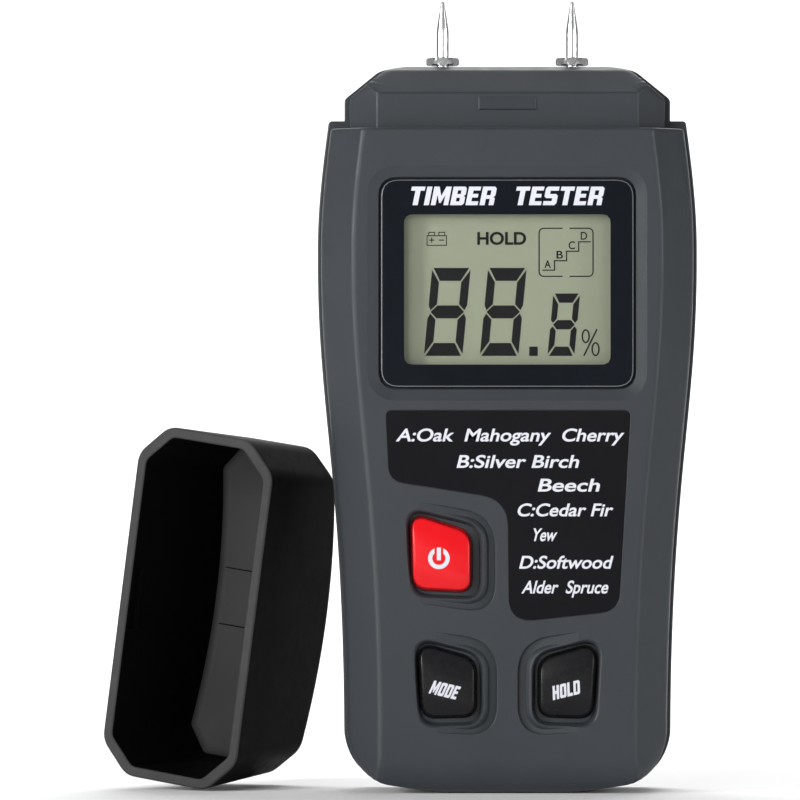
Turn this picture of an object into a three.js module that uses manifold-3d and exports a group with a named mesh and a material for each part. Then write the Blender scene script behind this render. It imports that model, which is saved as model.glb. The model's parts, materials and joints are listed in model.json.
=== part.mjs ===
// Two-pin moisture meter, standing on its foot, with its protective cap off and leaning beside it.
// Millimetres. +Z runs up along the pins, the display faces -Y, +X is to the right.
// The origin is the middle of the flat land under the foot.
import * as THREE from 'three';
import { mergeVertices } from 'three/addons/utils/BufferGeometryUtils.js';
import Module from 'manifold-3d';

// ---------------------------------------------------------------- driving dimensions
// Case
const CASE_HALF = 34.0; // half the greatest width
const WAIST_STEP = 4.75; // how far the waist above the foot draws in, each side
const SHOULDER_STEP = 2.0; // how far the shoulder draws in, each side
const SHOULDER_Z = 120.0; // height of the shoulder
const FRONT_DEPTH = 14.0; // pin axis to the front face
const WALL = 2.0; // side walls of both shells
const FRONT_WALL = 2.4; // wall behind the front face
const LAND_HALF = 9.0; // half-width of the flat land under the foot
const FLANK_WIDTH = 5.8; // slanted flank beside the front face, across
const FLANK_DEPTH = 6.5; // the same flank, front to back
const BACK_CHAMFER = 4.0; // chamfer round the back face
const FOOT_BEND_Z = 10.5; // height at which the curve round the foot ends
const WIDEST_SHARE = 0.79; // share of the shoulder's height at which the case is widest
const FOOT_ROLL_FRONT = [4.6, 6.2]; // rounding under the foot at the front: depth, height
const FOOT_ROLL_BACK = [5.5, 7.0]; // the same at the back
const RIM_STEP = 0.75; // the back shell's rim stands proud of the front shell
const PART_Y = -1.0; // where the two shells meet
const PART_GAP = 0.3; // gap between the two shells
// Neck that carries the pins and seats the cap
const NECK_STEP = 2.8; // how far the neck stands inside the shoulder, each side
const NECK_HEIGHT = 9.6;
const NECK_DEPTH_STEP = 2.6; // how far the neck stands inside the case, front and back
const NECK_CORNER = 4.9; // corner cut of the neck's plan
const NECK_BEVEL = 4.4; // how far the neck's top leans in, front and back
const NECK_SLANT = 6.2; // how far each end of the neck's top slopes in
const NECK_SLANT_DROP = 5.4; // height of the sloping ends
const NECK_FRONT_DROP = 4.9; // height of the leaning top
const NECK_EASE = 0.7; // height of the last soft step under the top
const NECK_RIM_STEP = 1.1; // the back shell's neck stands proud of the front one
const CATCH_WIDTH = 10.3; // snap catch on the neck
const CATCH_RISE = 0.35;
// Pins
const PIN_INSET = 17.6; // side of the neck to each pin
const PIN_RADIUS = 1.15;
const PIN_REACH = 11.9; // pin length above the neck
const PIN_TAPER = 5.5; // length of the ground point
const PIN_TIP_RADIUS = 0.35;
const NUT_FLATS = 5.15;
const NUT_HEIGHT = 1.5;
// Display
const LENS_MARGIN = 11.45; // side of the case to the lens
const LENS_DROP = 10.7; // shoulder to the lens
const LENS_HEIGHT = 37.1;
const LENS_THICK = 1.2;
const LENS_CORNER = 3.2;
const LENS_BEVEL = 1.5; // shallow bevel round the lens pocket
const WINDOW_MARGIN = 4.2; // side of the lens to its window
const WINDOW_DROP = 6.6; // top of the lens to its window
const WINDOW_HEIGHT = 26.6;
const LCD_THICK = 2.1;
// Sticker with the wood groups
const LABEL_THICK = 0.3;
// Keys
const KEY_TRAVEL = 0.6;
const KEY_CROWN = 0.5; // key face above the front face
const WELL_DEPTH = 2.2;
const WELL_STEP_DEPTH = 1.1; // the crescent beside each well
const WELL_BOSS_DEPTH = 1.4; // wall behind each well
const FLANGE_THICK = 1.2;
const FLANGE_WIDTH = 1.2;
const SWITCH_SIDE = 6.0;
const SWITCH_HEIGHT = 2.0;
const PLUNGER_RADIUS = 1.6;
// Circuit board
const BOARD_THICK = 1.6;
const BOARD_FRONT = -5.6; // y of the face that carries the switches
const BOARD_MARGIN = 1.5; // inside of the case to the board's edge
const BOARD_BOTTOM = 14.0;
// Chip and capacitor on the board
const CHIP_HALF = 7.0;
const CHIP_BOTTOM = 88.0;
const CHIP_HEIGHT = 10.0;
const CHIP_LEGS = 6; // on each long side
const CHIP_LEG_PITCH = 2.2;
const CAN_X = 15.0;
const CAN_BOTTOM = 78.4;
const CAN_HEIGHT = 6.4;
const CAN_RADIUS = 2.1;
// Cells and their tray
const CELL_RADIUS = 5.15;
const CELL_BODY = 43.4;
const CELL_NUB = 1.1;
const CELL_NUB_RADIUS = 1.9;
const CELL_GAP = 0.9; // between neighbouring cells
const CELL_SPARE = 0.5; // between the cells and the door
const TRAY_BOTTOM = 20.0;
const TRAY_WALL = 1.2;
const TRAY_FLOOR = 0.9;
const DOOR_THICK = 1.7;
const GRIP_GROOVES = 5; // grooves near the top of the battery cover
const GRIP_PITCH = 2.4;
const GRIP_HALF = 7.0;
const GRIP_DEPTH = 0.5;
const TAB_HALF = 2.5; // hinge tabs of the battery cover
const TAB_REACH = 1.4;
const TONGUE_HALF = 5.0; // latch tongue of the battery cover
const TONGUE_REACH = 1.5;
const SPRING_HEIGHT = 4.2;
const SPRING_RADIUS = 3.0;
const SPRING_WIRE = 0.32;
const SPRING_TURNS = 3.5;
const CONTACT_THICK = 0.4;
// Screws
const SCREW_RADIUS = 1.3;
const SCREW_HEAD_RADIUS = 2.5;
const SCREW_HEAD = 1.7;
const BOARD_SCREW_RADIUS = 0.9;
const BOARD_SCREW_HEAD_RADIUS = 1.9;
// Cap
const CAP_TIP_ROOM = 9.0; // between the pins and the bottom of the hollow
const CAP_END = 2.7; // thickness of the closed end
const CAP_WALL = 1.9;
const CAP_SEAT = 4.7; // depth over which the cap grips the neck
const CAP_SEAT_GAP = 0.35; // between the cap and the neck, all round
const CAP_CORNER = 5.6;
const CAP_TAPER = 1.7; // how much narrower each side is at the closed end
const CAP_CROWN = 5.4; // doming of the closed end across the cap's width
const CAP_END_DOME = 1.0; // doming of the closed end, front to back
const CAP_GROOVE = [1.1, 3.6]; // snap groove inside the mouth: from, to
const CAP_STAND_OFF = 9.48; // between the case and the cap's mouth, less the cap's own depth
const CAP_FORWARD = 2.0; // the mouth's middle stands in front of the pins
const CAP_GROUND_GAP = 0.12; // under the cap's lowest corner
const CAP_TURN = -27; // degrees, mouth turned to the left
const CAP_LEAN = 8.2; // degrees, leaning to the right
// Clearances
const FIT = 0.3; // between touching pieces
const SLIDE_FIT = 0.35; // round the keys
const THREAD_FIT = 0.2; // round screw threads
const BORE_STEPS = 16;

// ---------------------------------------------------------------- derived places
const WAIST_HALF = CASE_HALF - WAIST_STEP;
const SHOULDER_HALF = CASE_HALF - SHOULDER_STEP;
const NECK_HALF = SHOULDER_HALF - NECK_STEP;
const TRAY_FRONT = 0.3; // front of the tray's floor
const CELL_Y = TRAY_FRONT + TRAY_FLOOR + FIT + CELL_RADIUS;
const DOOR_INNER = CELL_Y + CELL_RADIUS + CELL_SPARE;
const FRONT = -FRONT_DEPTH;
const BACK = DOOR_INNER + DOOR_THICK;
const CASE_DEPTH = BACK - FRONT;
const NECK_FRONT = FRONT + NECK_DEPTH_STEP;
const NECK_BACK = BACK - NECK_DEPTH_STEP;
const PIN_SPACING = 2 * (NECK_HALF - PIN_INSET);
const INNER_FRONT = FRONT + FRONT_WALL;
const NECK_TOP = SHOULDER_Z + NECK_HEIGHT;
const BOARD_BACK = BOARD_FRONT + BOARD_THICK;
const LENS_HALF = CASE_HALF - LENS_MARGIN;
const LENS_TOP = SHOULDER_Z - LENS_DROP;
const LENS_BOTTOM = LENS_TOP - LENS_HEIGHT;
const WINDOW_HALF = LENS_HALF - WINDOW_MARGIN;
const WINDOW_TOP = LENS_TOP - WINDOW_DROP;
const WINDOW_BOTTOM = WINDOW_TOP - WINDOW_HEIGHT;
const LENS_BACK = FRONT + 0.15 + LENS_THICK;
const POCKET_FLOOR = LENS_BACK + FIT;
const CELL_PITCH = 2 * CELL_RADIUS + CELL_GAP;
const TRAY_HALF = 1.5 * CELL_PITCH + 0.2;
const CELL_LENGTH = CELL_BODY + CELL_NUB;
const TRAY_LENGTH = CELL_LENGTH + SPRING_HEIGHT + 2 * CONTACT_THICK + 7 * FIT;
const TRAY_TOP = TRAY_BOTTOM + TRAY_LENGTH;
const DOOR_LAP = 1.8; // how far the door laps the ledge round the tray
const WELL_FLOOR = FRONT + WELL_DEPTH;
const BOSS_BACK = WELL_FLOOR + WELL_BOSS_DEPTH;
const FLANGE_FRONT = BOSS_BACK + FIT;
const FLANGE_BACK = FLANGE_FRONT + FLANGE_THICK;
const SWITCH_BACK = BOARD_FRONT - FIT;
const SWITCH_FRONT = SWITCH_BACK - SWITCH_HEIGHT;
const SCREW_PLACES = [
  [8 - SHOULDER_HALF, SHOULDER_Z - 7], [SHOULDER_HALF - 8, SHOULDER_Z - 7],
  [8.75 - WAIST_HALF, 9.6], [WAIST_HALF - 8.75, 9.6],
];
const BOARD_HALF = WAIST_HALF - RIM_STEP - WALL - BOARD_MARGIN;
const BOARD_TOP = LENS_TOP - 0.3;
const BOARD_SCREW_HALF = BOARD_HALF - 3.2;
const BOARD_SCREW_PLACES = [
  [-BOARD_SCREW_HALF, LENS_BOTTOM - 7.7], [BOARD_SCREW_HALF, LENS_BOTTOM - 7.7],
  [-BOARD_SCREW_HALF, 30], [BOARD_SCREW_HALF, 30],
];
const CAP_LENGTH = NECK_HEIGHT + PIN_REACH + CAP_TIP_ROOM + CAP_END;
const CAP_SPARE = CAP_SEAT_GAP + (CAP_TAPER * CAP_SEAT) / CAP_LENGTH;
const CAP_INNER_HALF = NECK_HALF + CAP_SPARE;
const CAP_INNER_DEPTH = (NECK_BACK - NECK_FRONT) / 2 + CAP_SPARE;
const CAP_OUTER_HALF = CAP_INNER_HALF + CAP_WALL;
const CAP_OUTER_DEPTH = CAP_INNER_DEPTH + CAP_WALL;

// Corners of each key, its well and the crescent beside it: [x, z, corner setback].
// They are drawn for a waist this wide, and spread with it.
const DRAWN_WAIST = 29.25;
const spread = (corners) => corners.map(
  ([x, z, setback]) => [(x * WAIST_HALF) / DRAWN_WAIST, z, setback],
);
const POWER_OUTLINES = {
  key: spread([[-17.0, 49.7, 3], [-6.65, 46.3, 2.4], [-6.65, 36.1, 2.2], [-16.65, 36.6, 2.4]]),
  well: spread([[-18.4, 51.3, 4.4], [-4.35, 47.9, 3.6], [-4.35, 34.3, 3.4], [-17.35, 34.9, 3.6]]),
  step: spread([[-17.7, 52.2, 0.5], [-2.15, 49.6, 6], [-2.15, 32, 5.5], [-16.75, 34.2, 0.5]]),
};
const MODE_OUTLINES = {
  key: spread([[-15.65, 26.6, 3], [-5.85, 23.8, 2.4], [-5.85, 14.0, 2.2], [-14.9, 13.7, 2.4]]),
  well: spread([[-16.85, 28.2, 4.4], [-4.2, 25.1, 3.6], [-4.2, 12.1, 3.4], [-15.95, 11.8, 3.6]]),
  step: spread([[-14.8, 29.0, 0.5], [-1.85, 27.2, 6], [-1.85, 10.4, 5.5], [-14.5, 11.1, 0.5]]),
};
const LABEL_CORNERS = spread([
  [-21.5, 68.1, 1.2], [21.8, 68.1, 1.2], [19.7, 32.6, 3.2], [0.4, 30.5, 4.6],
  [0.2, 52.4, 5.0], [-20.9, 55.7, 2.6],
]);

// ---------------------------------------------------------------- solids and placing helpers
const wasm = await Module();
wasm.setup();

function solid(geometry) {
  const bare = geometry.clone();
  bare.deleteAttribute('normal');
  bare.deleteAttribute('uv');
  const merged = mergeVertices(bare, 1e-4);
  return new wasm.Manifold(new wasm.Mesh({
    numProp: 3,
    vertProperties: new Float32Array(merged.attributes.position.array),
    triVerts: new Uint32Array(merged.index.array),
  }));
}

function geometryOf(body) {
  const mesh = body.getMesh();
  const geometry = new THREE.BufferGeometry();
  geometry.setAttribute('position', new THREE.BufferAttribute(mesh.vertProperties, 3));
  geometry.setIndex(new THREE.BufferAttribute(mesh.triVerts, 1));
  geometry.computeVertexNormals();
  return geometry;
}

// A slab whose outline lies in x and z, between two y values
function slab(shape, front, back, steps = 4) {
  const options = { depth: back - front, bevelEnabled: false, curveSegments: steps };
  const geometry = new THREE.ExtrudeGeometry(shape, options);
  geometry.rotateX(Math.PI / 2);
  geometry.translate(0, back, 0);
  return solid(geometry);
}

// A prism whose outline lies in y and z, centred on x = 0
function crossPrism(shape, width, steps = 4) {
  const options = { depth: width, bevelEnabled: false, curveSegments: steps };
  const geometry = new THREE.ExtrudeGeometry(shape, options);
  geometry.rotateX(Math.PI / 2);
  geometry.rotateZ(Math.PI / 2);
  geometry.translate(-width / 2, 0, 0);
  return solid(geometry);
}

// A column whose outline lies in x and y, between two z values
function column(shape, bottom, top, steps = 4) {
  const options = { depth: top - bottom, bevelEnabled: false, curveSegments: steps };
  const geometry = new THREE.ExtrudeGeometry(shape, options);
  geometry.translate(0, 0, bottom);
  return solid(geometry);
}

function block(x0, x1, y0, y1, z0, z1) {
  const geometry = new THREE.BoxGeometry(x1 - x0, y1 - y0, z1 - z0);
  geometry.translate((x0 + x1) / 2, (y0 + y1) / 2, (z0 + z1) / 2);
  return solid(geometry);
}

// A round bar along y
function barY(x, z, radius, front, back, steps = BORE_STEPS) {
  const geometry = new THREE.CylinderGeometry(radius, radius, back - front, steps);
  geometry.translate(x, (front + back) / 2, z);
  return solid(geometry);
}

// A round bar along z
function barZ(x, y, radius, bottom, top, steps = BORE_STEPS) {
  const geometry = new THREE.CylinderGeometry(radius, radius, top - bottom, steps);
  geometry.rotateX(Math.PI / 2);
  geometry.translate(x, y, (bottom + top) / 2);
  return solid(geometry);
}

// A turned piece on a z axis at (x, y): profile points are [radius, z], bottom to top
function turned(profile, x, y, steps = BORE_STEPS) {
  const points = profile.map(([radius, z]) => new THREE.Vector2(radius, z));
  const geometry = new THREE.LatheGeometry(points, steps);
  geometry.rotateX(Math.PI / 2);
  geometry.translate(x, y, 0);
  return solid(geometry);
}

// A closed outline through corners, each rounded off over its own setback
function rounded(corners) {
  const shape = new THREE.Shape();
  corners.forEach(([x, z, setback], index) => {
    const corner = new THREE.Vector2(x, z);
    const before = corners[(index + corners.length - 1) % corners.length];
    const after = corners[(index + 1) % corners.length];
    const toBefore = new THREE.Vector2(before[0] - x, before[1] - z).setLength(setback);
    const toAfter = new THREE.Vector2(after[0] - x, after[1] - z).setLength(setback);
    const enter = corner.clone().add(toBefore);
    const leave = corner.clone().add(toAfter);
    if (index === 0) shape.moveTo(enter.x, enter.y);
    else shape.lineTo(enter.x, enter.y);
    shape.quadraticCurveTo(x, z, leave.x, leave.y);
  });
  shape.closePath();
  return shape;
}

function roundedBox(half, bottom, top, setback) {
  return rounded([
    [-half, bottom, setback], [half, bottom, setback], [half, top, setback], [-half, top, setback],
  ]);
}

// Twice the signed area of a triangle, positive when a, b, c turn to the left
const turnOf = (a, b, c) => (b[0] - a[0]) * (c[1] - a[1]) - (b[1] - a[1]) * (c[0] - a[0]);

// Moves every side of an outline outwards by an amount
function grown(corners, amount) {
  const count = corners.length;
  const around = Math.sign(corners.reduce(
    (sum, corner, index) => sum + turnOf([0, 0], corner, corners[(index + 1) % count]), 0,
  ));
  return corners.map(([x, z, setback], index) => {
    const before = corners[(index + count - 1) % count];
    const after = corners[(index + 1) % count];
    const fromBefore = new THREE.Vector2(x - before[0], z - before[1]).normalize();
    const fromAfter = new THREE.Vector2(x - after[0], z - after[1]).normalize();
    const bend = around * Math.sign(turnOf(before, [x, z], after));
    const sine = Math.abs(fromBefore.cross(fromAfter));
    const push = fromBefore.add(fromAfter).multiplyScalar((bend * amount) / sine);
    return [x + push.x, z + push.y, Math.max(setback + bend * amount, 0.1)];
  });
}

const mirrored = (corners) => corners.map(([x, z, setback]) => [-x, z, setback]).reverse();

function middleOf(corners) {
  const count = corners.length;
  return corners.reduce(([x, z], corner) => [x + corner[0] / count, z + corner[1] / count], [0, 0]);
}

const model = new THREE.Group();
model.name = 'moisture_meter';

function piece(name, body, [colour, roughness, metalness], parent = model) {
  const material = new THREE.MeshStandardMaterial({ color: colour, roughness, metalness });
  const mesh = new THREE.Mesh(geometryOf(body), material);
  mesh.name = name;
  parent.add(mesh);
  return mesh;
}

const SLATE = [0x3f4346, 0.55, 0];
const BLACK_SATIN = [0x161616, 0.4, 0];
const BLACK_GLOSS = [0x14161a, 0.12, 0];
const LABEL_BLACK = [0x18181a, 0.5, 0];
const KEY_RED = [0xe11d26, 0.25, 0];
const KEY_BLACK = [0x1e1e21, 0.3, 0];
const LCD_GREEN = [0x969c84, 0.3, 0];
const IVORY = [0xd8d5c8, 0.5, 0];
const BOARD_GREEN = [0x1f5a38, 0.45, 0];
const CHIP_BLACK = [0x202020, 0.5, 0];
const BRIGHT_METAL = [0xcfd2d4, 0.15, 1];
const BRASS = [0xb08d4a, 0.3, 1];
const STEEL = [0x9a9c9e, 0.35, 1];
const RUBBER_GREY = [0x6c6c6c, 0.8, 0];
const CELL_COLOUR = [0x8a8f94, 0.35, 0.6];

// ---------------------------------------------------------------- case outlines
// The case seen from the front, drawn in by `inset`, raised by `foot` and cut off at `top`
function caseOutline(inset, top, foot) {
  const side = new THREE.Path();
  side.moveTo(LAND_HALF, foot);
  side.quadraticCurveTo(LAND_HALF + 3, foot, WAIST_HALF - 7.75, 1.55 + foot);
  side.quadraticCurveTo(WAIST_HALF - 0.95 - inset, 3.2 + foot, WAIST_HALF - inset, FOOT_BEND_Z + foot);
  const widest = WIDEST_SHARE * SHOULDER_Z;
  const rise = widest - FOOT_BEND_Z;
  side.bezierCurveTo(
    WAIST_HALF + 0.25 - inset, FOOT_BEND_Z + 0.545 * rise,
    CASE_HALF - inset, widest - 0.32 * rise,
    CASE_HALF - inset, widest,
  );
  const shoulderRise = SHOULDER_Z - widest;
  side.bezierCurveTo(
    CASE_HALF - inset, widest + 0.2 * shoulderRise,
    SHOULDER_HALF + 2.1 - inset, SHOULDER_Z - 0.6 * shoulderRise,
    SHOULDER_HALF - inset, SHOULDER_Z,
  );
  const right = side.getPoints(7).filter((point) => point.y < top);
  right.push(new THREE.Vector2(SHOULDER_HALF - inset + (SHOULDER_Z - top) * 0.14, top));
  const left = right.map((point) => new THREE.Vector2(-point.x, point.y)).reverse();
  return new THREE.Shape([...right, ...left]);
}

// Tall outline of the sides only, so that its bevels touch nothing but the flanks
function flankOutline(inset) {
  const outline = caseOutline(inset, SHOULDER_Z, 0).getPoints(1);
  const sides = outline.filter((point) => point.y > FOOT_BEND_Z + 0.5 && point.x > 0);
  const right = [
    new THREE.Vector2(WAIST_HALF - inset, -30), ...sides,
    new THREE.Vector2(SHOULDER_HALF - inset, SHOULDER_Z + 30),
  ];
  const left = right.map((point) => new THREE.Vector2(-point.x, point.y)).reverse();
  return new THREE.Shape([...right, ...left]);
}

// A slab of the flank outline with a straight bevel on both faces
function bevelledFlanks(inset, front, back, width, depth) {
  const options = {
    depth: back - front - 2 * depth,
    bevelEnabled: true,
    bevelSize: width,
    bevelOffset: -width,
    bevelThickness: depth,
    bevelSegments: 1,
    curveSegments: 1,
  };
  const geometry = new THREE.ExtrudeGeometry(flankOutline(inset), options);
  geometry.rotateX(Math.PI / 2);
  geometry.translate(0, back - depth, 0);
  return solid(geometry);
}

// Side view of the case, rounded under the foot
function sideOutline(foot, front, back) {
  const [frontDepth, frontHeight] = FOOT_ROLL_FRONT;
  const [backDepth, backHeight] = FOOT_ROLL_BACK;
  const beyond = SHOULDER_Z + 20;
  const shape = new THREE.Shape();
  shape.moveTo(front, beyond);
  shape.lineTo(front, frontHeight + foot);
  shape.quadraticCurveTo(front, foot, front + frontDepth, foot);
  shape.lineTo(back - backDepth, foot);
  shape.quadraticCurveTo(back, foot, back, backHeight + foot);
  shape.lineTo(back, beyond);
  shape.closePath();
  return shape;
}

// An outline with its four corners cut, for the neck and the cap
function cutRectangle(x0, x1, y0, y1, corner) {
  const shape = new THREE.Shape();
  shape.moveTo(x1 - corner, y0);
  shape.lineTo(x1, y0 + corner);
  shape.lineTo(x1, y1 - corner);
  shape.lineTo(x1 - corner, y1);
  shape.lineTo(x0 + corner, y1);
  shape.lineTo(x0, y1 - corner);
  shape.lineTo(x0, y0 + corner);
  shape.lineTo(x0 + corner, y0);
  shape.closePath();
  return shape;
}

function neckBody(inset, top) {
  const half = NECK_HALF - inset;
  const front = NECK_FRONT + inset;
  const back = NECK_BACK - inset;
  const root = SHOULDER_Z - 12;
  const edge = half - NECK_SLANT;
  const frontView = new THREE.Shape();
  frontView.moveTo(-half, root);
  frontView.lineTo(half, root);
  frontView.lineTo(half - 0.4, top - NECK_SLANT_DROP);
  frontView.lineTo(edge, top - NECK_EASE);
  frontView.lineTo(edge - 2.9, top);
  frontView.lineTo(2.9 - edge, top);
  frontView.lineTo(-edge, top - NECK_EASE);
  frontView.lineTo(0.4 - half, top - NECK_SLANT_DROP);
  frontView.closePath();
  const sideView = new THREE.Shape();
  sideView.moveTo(front, root);
  sideView.lineTo(back, root);
  sideView.lineTo(back, top - NECK_FRONT_DROP);
  sideView.lineTo(back - NECK_BEVEL, top - NECK_EASE);
  sideView.lineTo(back - NECK_BEVEL - 1.6, top);
  sideView.lineTo(front + NECK_BEVEL + 1.6, top);
  sideView.lineTo(front + NECK_BEVEL, top - NECK_EASE);
  sideView.lineTo(front, top - NECK_FRONT_DROP);
  sideView.closePath();
  return slab(frontView, -CASE_DEPTH, CASE_DEPTH)
    .intersect(crossPrism(sideView, 4 * NECK_HALF))
    .intersect(column(cutRectangle(-half, half, front, back, NECK_CORNER), 0, 2 * SHOULDER_Z));
}

// The whole case without its neck, drawn in by `inset` on the sides and by `foot` underneath
function caseBody(inset, foot, front, back, top) {
  const reach = CASE_DEPTH;
  const flat = slab(caseOutline(inset, top, foot), -reach, reach);
  const flanks = bevelledFlanks(inset, front, back + 3, FLANK_WIDTH, FLANK_DEPTH)
    .intersect(bevelledFlanks(inset, front - 6, back, BACK_CHAMFER, BACK_CHAMFER + 0.5));
  return flat.intersect(flanks).intersect(crossPrism(sideOutline(foot, front, back), 4 * CASE_HALF));
}

const frontHalf = block(-100, 100, -100, PART_Y - PART_GAP / 2, -50, 250);
const backHalf = block(-100, 100, PART_Y + PART_GAP / 2, 100, -50, 250);

// ---------------------------------------------------------------- front shell
const KEYS = [
  { name: 'power', outlines: POWER_OUTLINES, finish: KEY_RED },
  { name: 'mode', outlines: MODE_OUTLINES, finish: KEY_BLACK },
  {
    name: 'hold',
    outlines: {
      key: mirrored(MODE_OUTLINES.key),
      well: mirrored(MODE_OUTLINES.well),
      step: mirrored(MODE_OUTLINES.step),
    },
    finish: KEY_BLACK,
  },
];

// Crescent recess: level with the face on its far side, deepest beside the well
function crescent(corners) {
  const across = corners.map(([x]) => x);
  const shallow = Math.abs(corners[0][0]) > Math.abs(corners[1][0]) ? corners[0][0] : corners[1][0];
  const deep = across.reduce((far, x) => (Math.abs(x - shallow) > Math.abs(far - shallow) ? x : far));
  const wedge = new THREE.Shape();
  wedge.moveTo(shallow, FRONT - 5);
  wedge.lineTo(deep, FRONT - 5);
  wedge.lineTo(deep, FRONT + WELL_STEP_DEPTH);
  wedge.lineTo(shallow, FRONT + 0.05);
  wedge.closePath();
  const cut = slab(rounded(corners), FRONT - 4, INNER_FRONT);
  return cut.intersect(column(wedge, 0, SHOULDER_Z));
}

function frontShell() {
  let shell = caseBody(RIM_STEP, 0, FRONT, BACK, SHOULDER_Z - 1.6);
  shell = shell.add(neckBody(NECK_RIM_STEP, NECK_TOP));
  const inset = RIM_STEP + WALL;
  let hollow = caseBody(inset, WALL, INNER_FRONT, BACK, SHOULDER_Z - 1.6 - WALL);
  hollow = hollow.add(neckBody(NECK_RIM_STEP + WALL, NECK_TOP - WALL));
  const outer = shell;
  shell = shell.subtract(hollow);
  for (const [x, z] of SCREW_PLACES) {
    shell = shell.add(barY(x, z, SCREW_RADIUS + 1.6, INNER_FRONT - 1, 0).intersect(outer));
  }
  for (const [x, z] of BOARD_SCREW_PLACES) {
    const post = barY(x, z, BOARD_SCREW_RADIUS + 1.4, INNER_FRONT - 1, BOARD_FRONT - FIT);
    shell = shell.add(post.intersect(outer));
  }
  for (const { outlines } of KEYS) {
    const boss = slab(rounded(grown(outlines.well, 1.2)), INNER_FRONT - 1, BOSS_BACK);
    shell = shell.add(boss.intersect(outer));
  }
  for (const { outlines } of KEYS) {
    shell = shell.subtract(crescent(outlines.step));
    shell = shell.subtract(slab(rounded(outlines.well), FRONT - 4, WELL_FLOOR));
    shell = shell.subtract(slab(rounded(grown(outlines.key, SLIDE_FIT)), FRONT - 4, BOSS_BACK + 1));
  }
  for (const [x, z] of SCREW_PLACES) {
    shell = shell.subtract(barY(x, z, SCREW_RADIUS + THREAD_FIT, FRONT + 3.5, 1));
  }
  for (const [x, z] of BOARD_SCREW_PLACES) {
    shell = shell.subtract(barY(x, z, BOARD_SCREW_RADIUS + THREAD_FIT, FRONT + 3.5, 0));
  }
  const bevel = roundedBox(
    LENS_HALF + LENS_BEVEL, LENS_BOTTOM - LENS_BEVEL, LENS_TOP + LENS_BEVEL, LENS_CORNER + LENS_BEVEL,
  );
  const pocket = roundedBox(LENS_HALF + FIT, LENS_BOTTOM - FIT, LENS_TOP + FIT, LENS_CORNER);
  const opening = roundedBox(
    WINDOW_HALF + 1, WINDOW_BOTTOM - 1, WINDOW_TOP + 1, 1.5,
  );
  shell = shell.subtract(slab(bevel, FRONT - 4, FRONT + 0.5));
  shell = shell.subtract(slab(pocket, FRONT - 4, POCKET_FLOOR));
  shell = shell.subtract(slab(opening, FRONT - 4, INNER_FRONT + 1));
  const labelBed = rounded(grown(LABEL_CORNERS, FIT));
  shell = shell.subtract(slab(labelBed, FRONT - 4, FRONT + LABEL_THICK + FIT));
  for (const side of [-1, 1]) {
    shell = shell.subtract(barZ((side * PIN_SPACING) / 2, 0, PIN_RADIUS + FIT, NECK_TOP - 5, NECK_TOP + 5));
  }
  shell = shell.add(snapCatch());
  return shell.intersect(frontHalf);
}

// Wedge on the neck that the cap snaps over
function snapCatch() {
  const face = NECK_FRONT + NECK_RIM_STEP;
  const ramp = new THREE.Shape();
  ramp.moveTo(face + 0.8, SHOULDER_Z + 1.5);
  ramp.lineTo(face - CATCH_RISE, SHOULDER_Z + 1.5);
  ramp.lineTo(face, SHOULDER_Z + 3.4);
  ramp.lineTo(face + 0.8, SHOULDER_Z + 3.4);
  ramp.closePath();
  return crossPrism(ramp, CATCH_WIDTH);
}

// ---------------------------------------------------------------- back shell and battery door
const trayOpening = (front, back) => block(
  -TRAY_HALF, TRAY_HALF, front, back, TRAY_BOTTOM, TRAY_TOP,
);
const DOOR_HALF = TRAY_HALF + DOOR_LAP;
const DOOR_BOTTOM = TRAY_BOTTOM - DOOR_LAP;
const DOOR_TOP = TRAY_TOP + DOOR_LAP;

function backShell() {
  let shell = caseBody(0, 0, FRONT, BACK, SHOULDER_Z);
  shell = shell.add(neckBody(0, NECK_TOP));
  let hollow = caseBody(WALL, WALL, FRONT, BACK - WALL, SHOULDER_Z - WALL);
  hollow = hollow.add(neckBody(WALL + NECK_RIM_STEP, NECK_TOP - WALL));
  const outer = shell;
  shell = shell.subtract(hollow);
  const rim = DOOR_LAP + TRAY_WALL;
  const tray = block(
    -TRAY_HALF - rim, TRAY_HALF + rim, TRAY_FRONT, BACK, TRAY_BOTTOM - rim, TRAY_TOP + rim,
  );
  shell = shell.add(tray.intersect(outer));
  for (const [x, z] of SCREW_PLACES) {
    shell = shell.add(barY(x, z, SCREW_HEAD_RADIUS + 1.4, PART_Y, BACK).intersect(outer));
  }
  for (const [x, z] of SCREW_PLACES) {
    shell = shell.subtract(barY(x, z, SCREW_RADIUS + FIT, -5, BACK + 1));
    shell = shell.subtract(barY(x, z, SCREW_HEAD_RADIUS + FIT, BACK / 2, BACK + 1, 24));
  }
  shell = shell.subtract(trayOpening(TRAY_FRONT + TRAY_FLOOR, BACK + 1));
  shell = shell.subtract(block(
    -DOOR_HALF - FIT, DOOR_HALF + FIT, DOOR_INNER - FIT, BACK + 1, DOOR_BOTTOM - FIT, DOOR_TOP + FIT,
  ));
  for (const side of [-1, 1]) {
    const x = (side * PIN_SPACING) / 2;
    shell = shell.subtract(barZ(x, 0, PIN_RADIUS + FIT, NECK_TOP - 5, NECK_TOP + 5));
  }
  const fingerNotch = barZ(0, BACK + 7, 8.2, DOOR_TOP + FIT - 1, DOOR_TOP + 5, 32);
  shell = shell.subtract(fingerNotch);
  return shell.intersect(backHalf);
}

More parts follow.
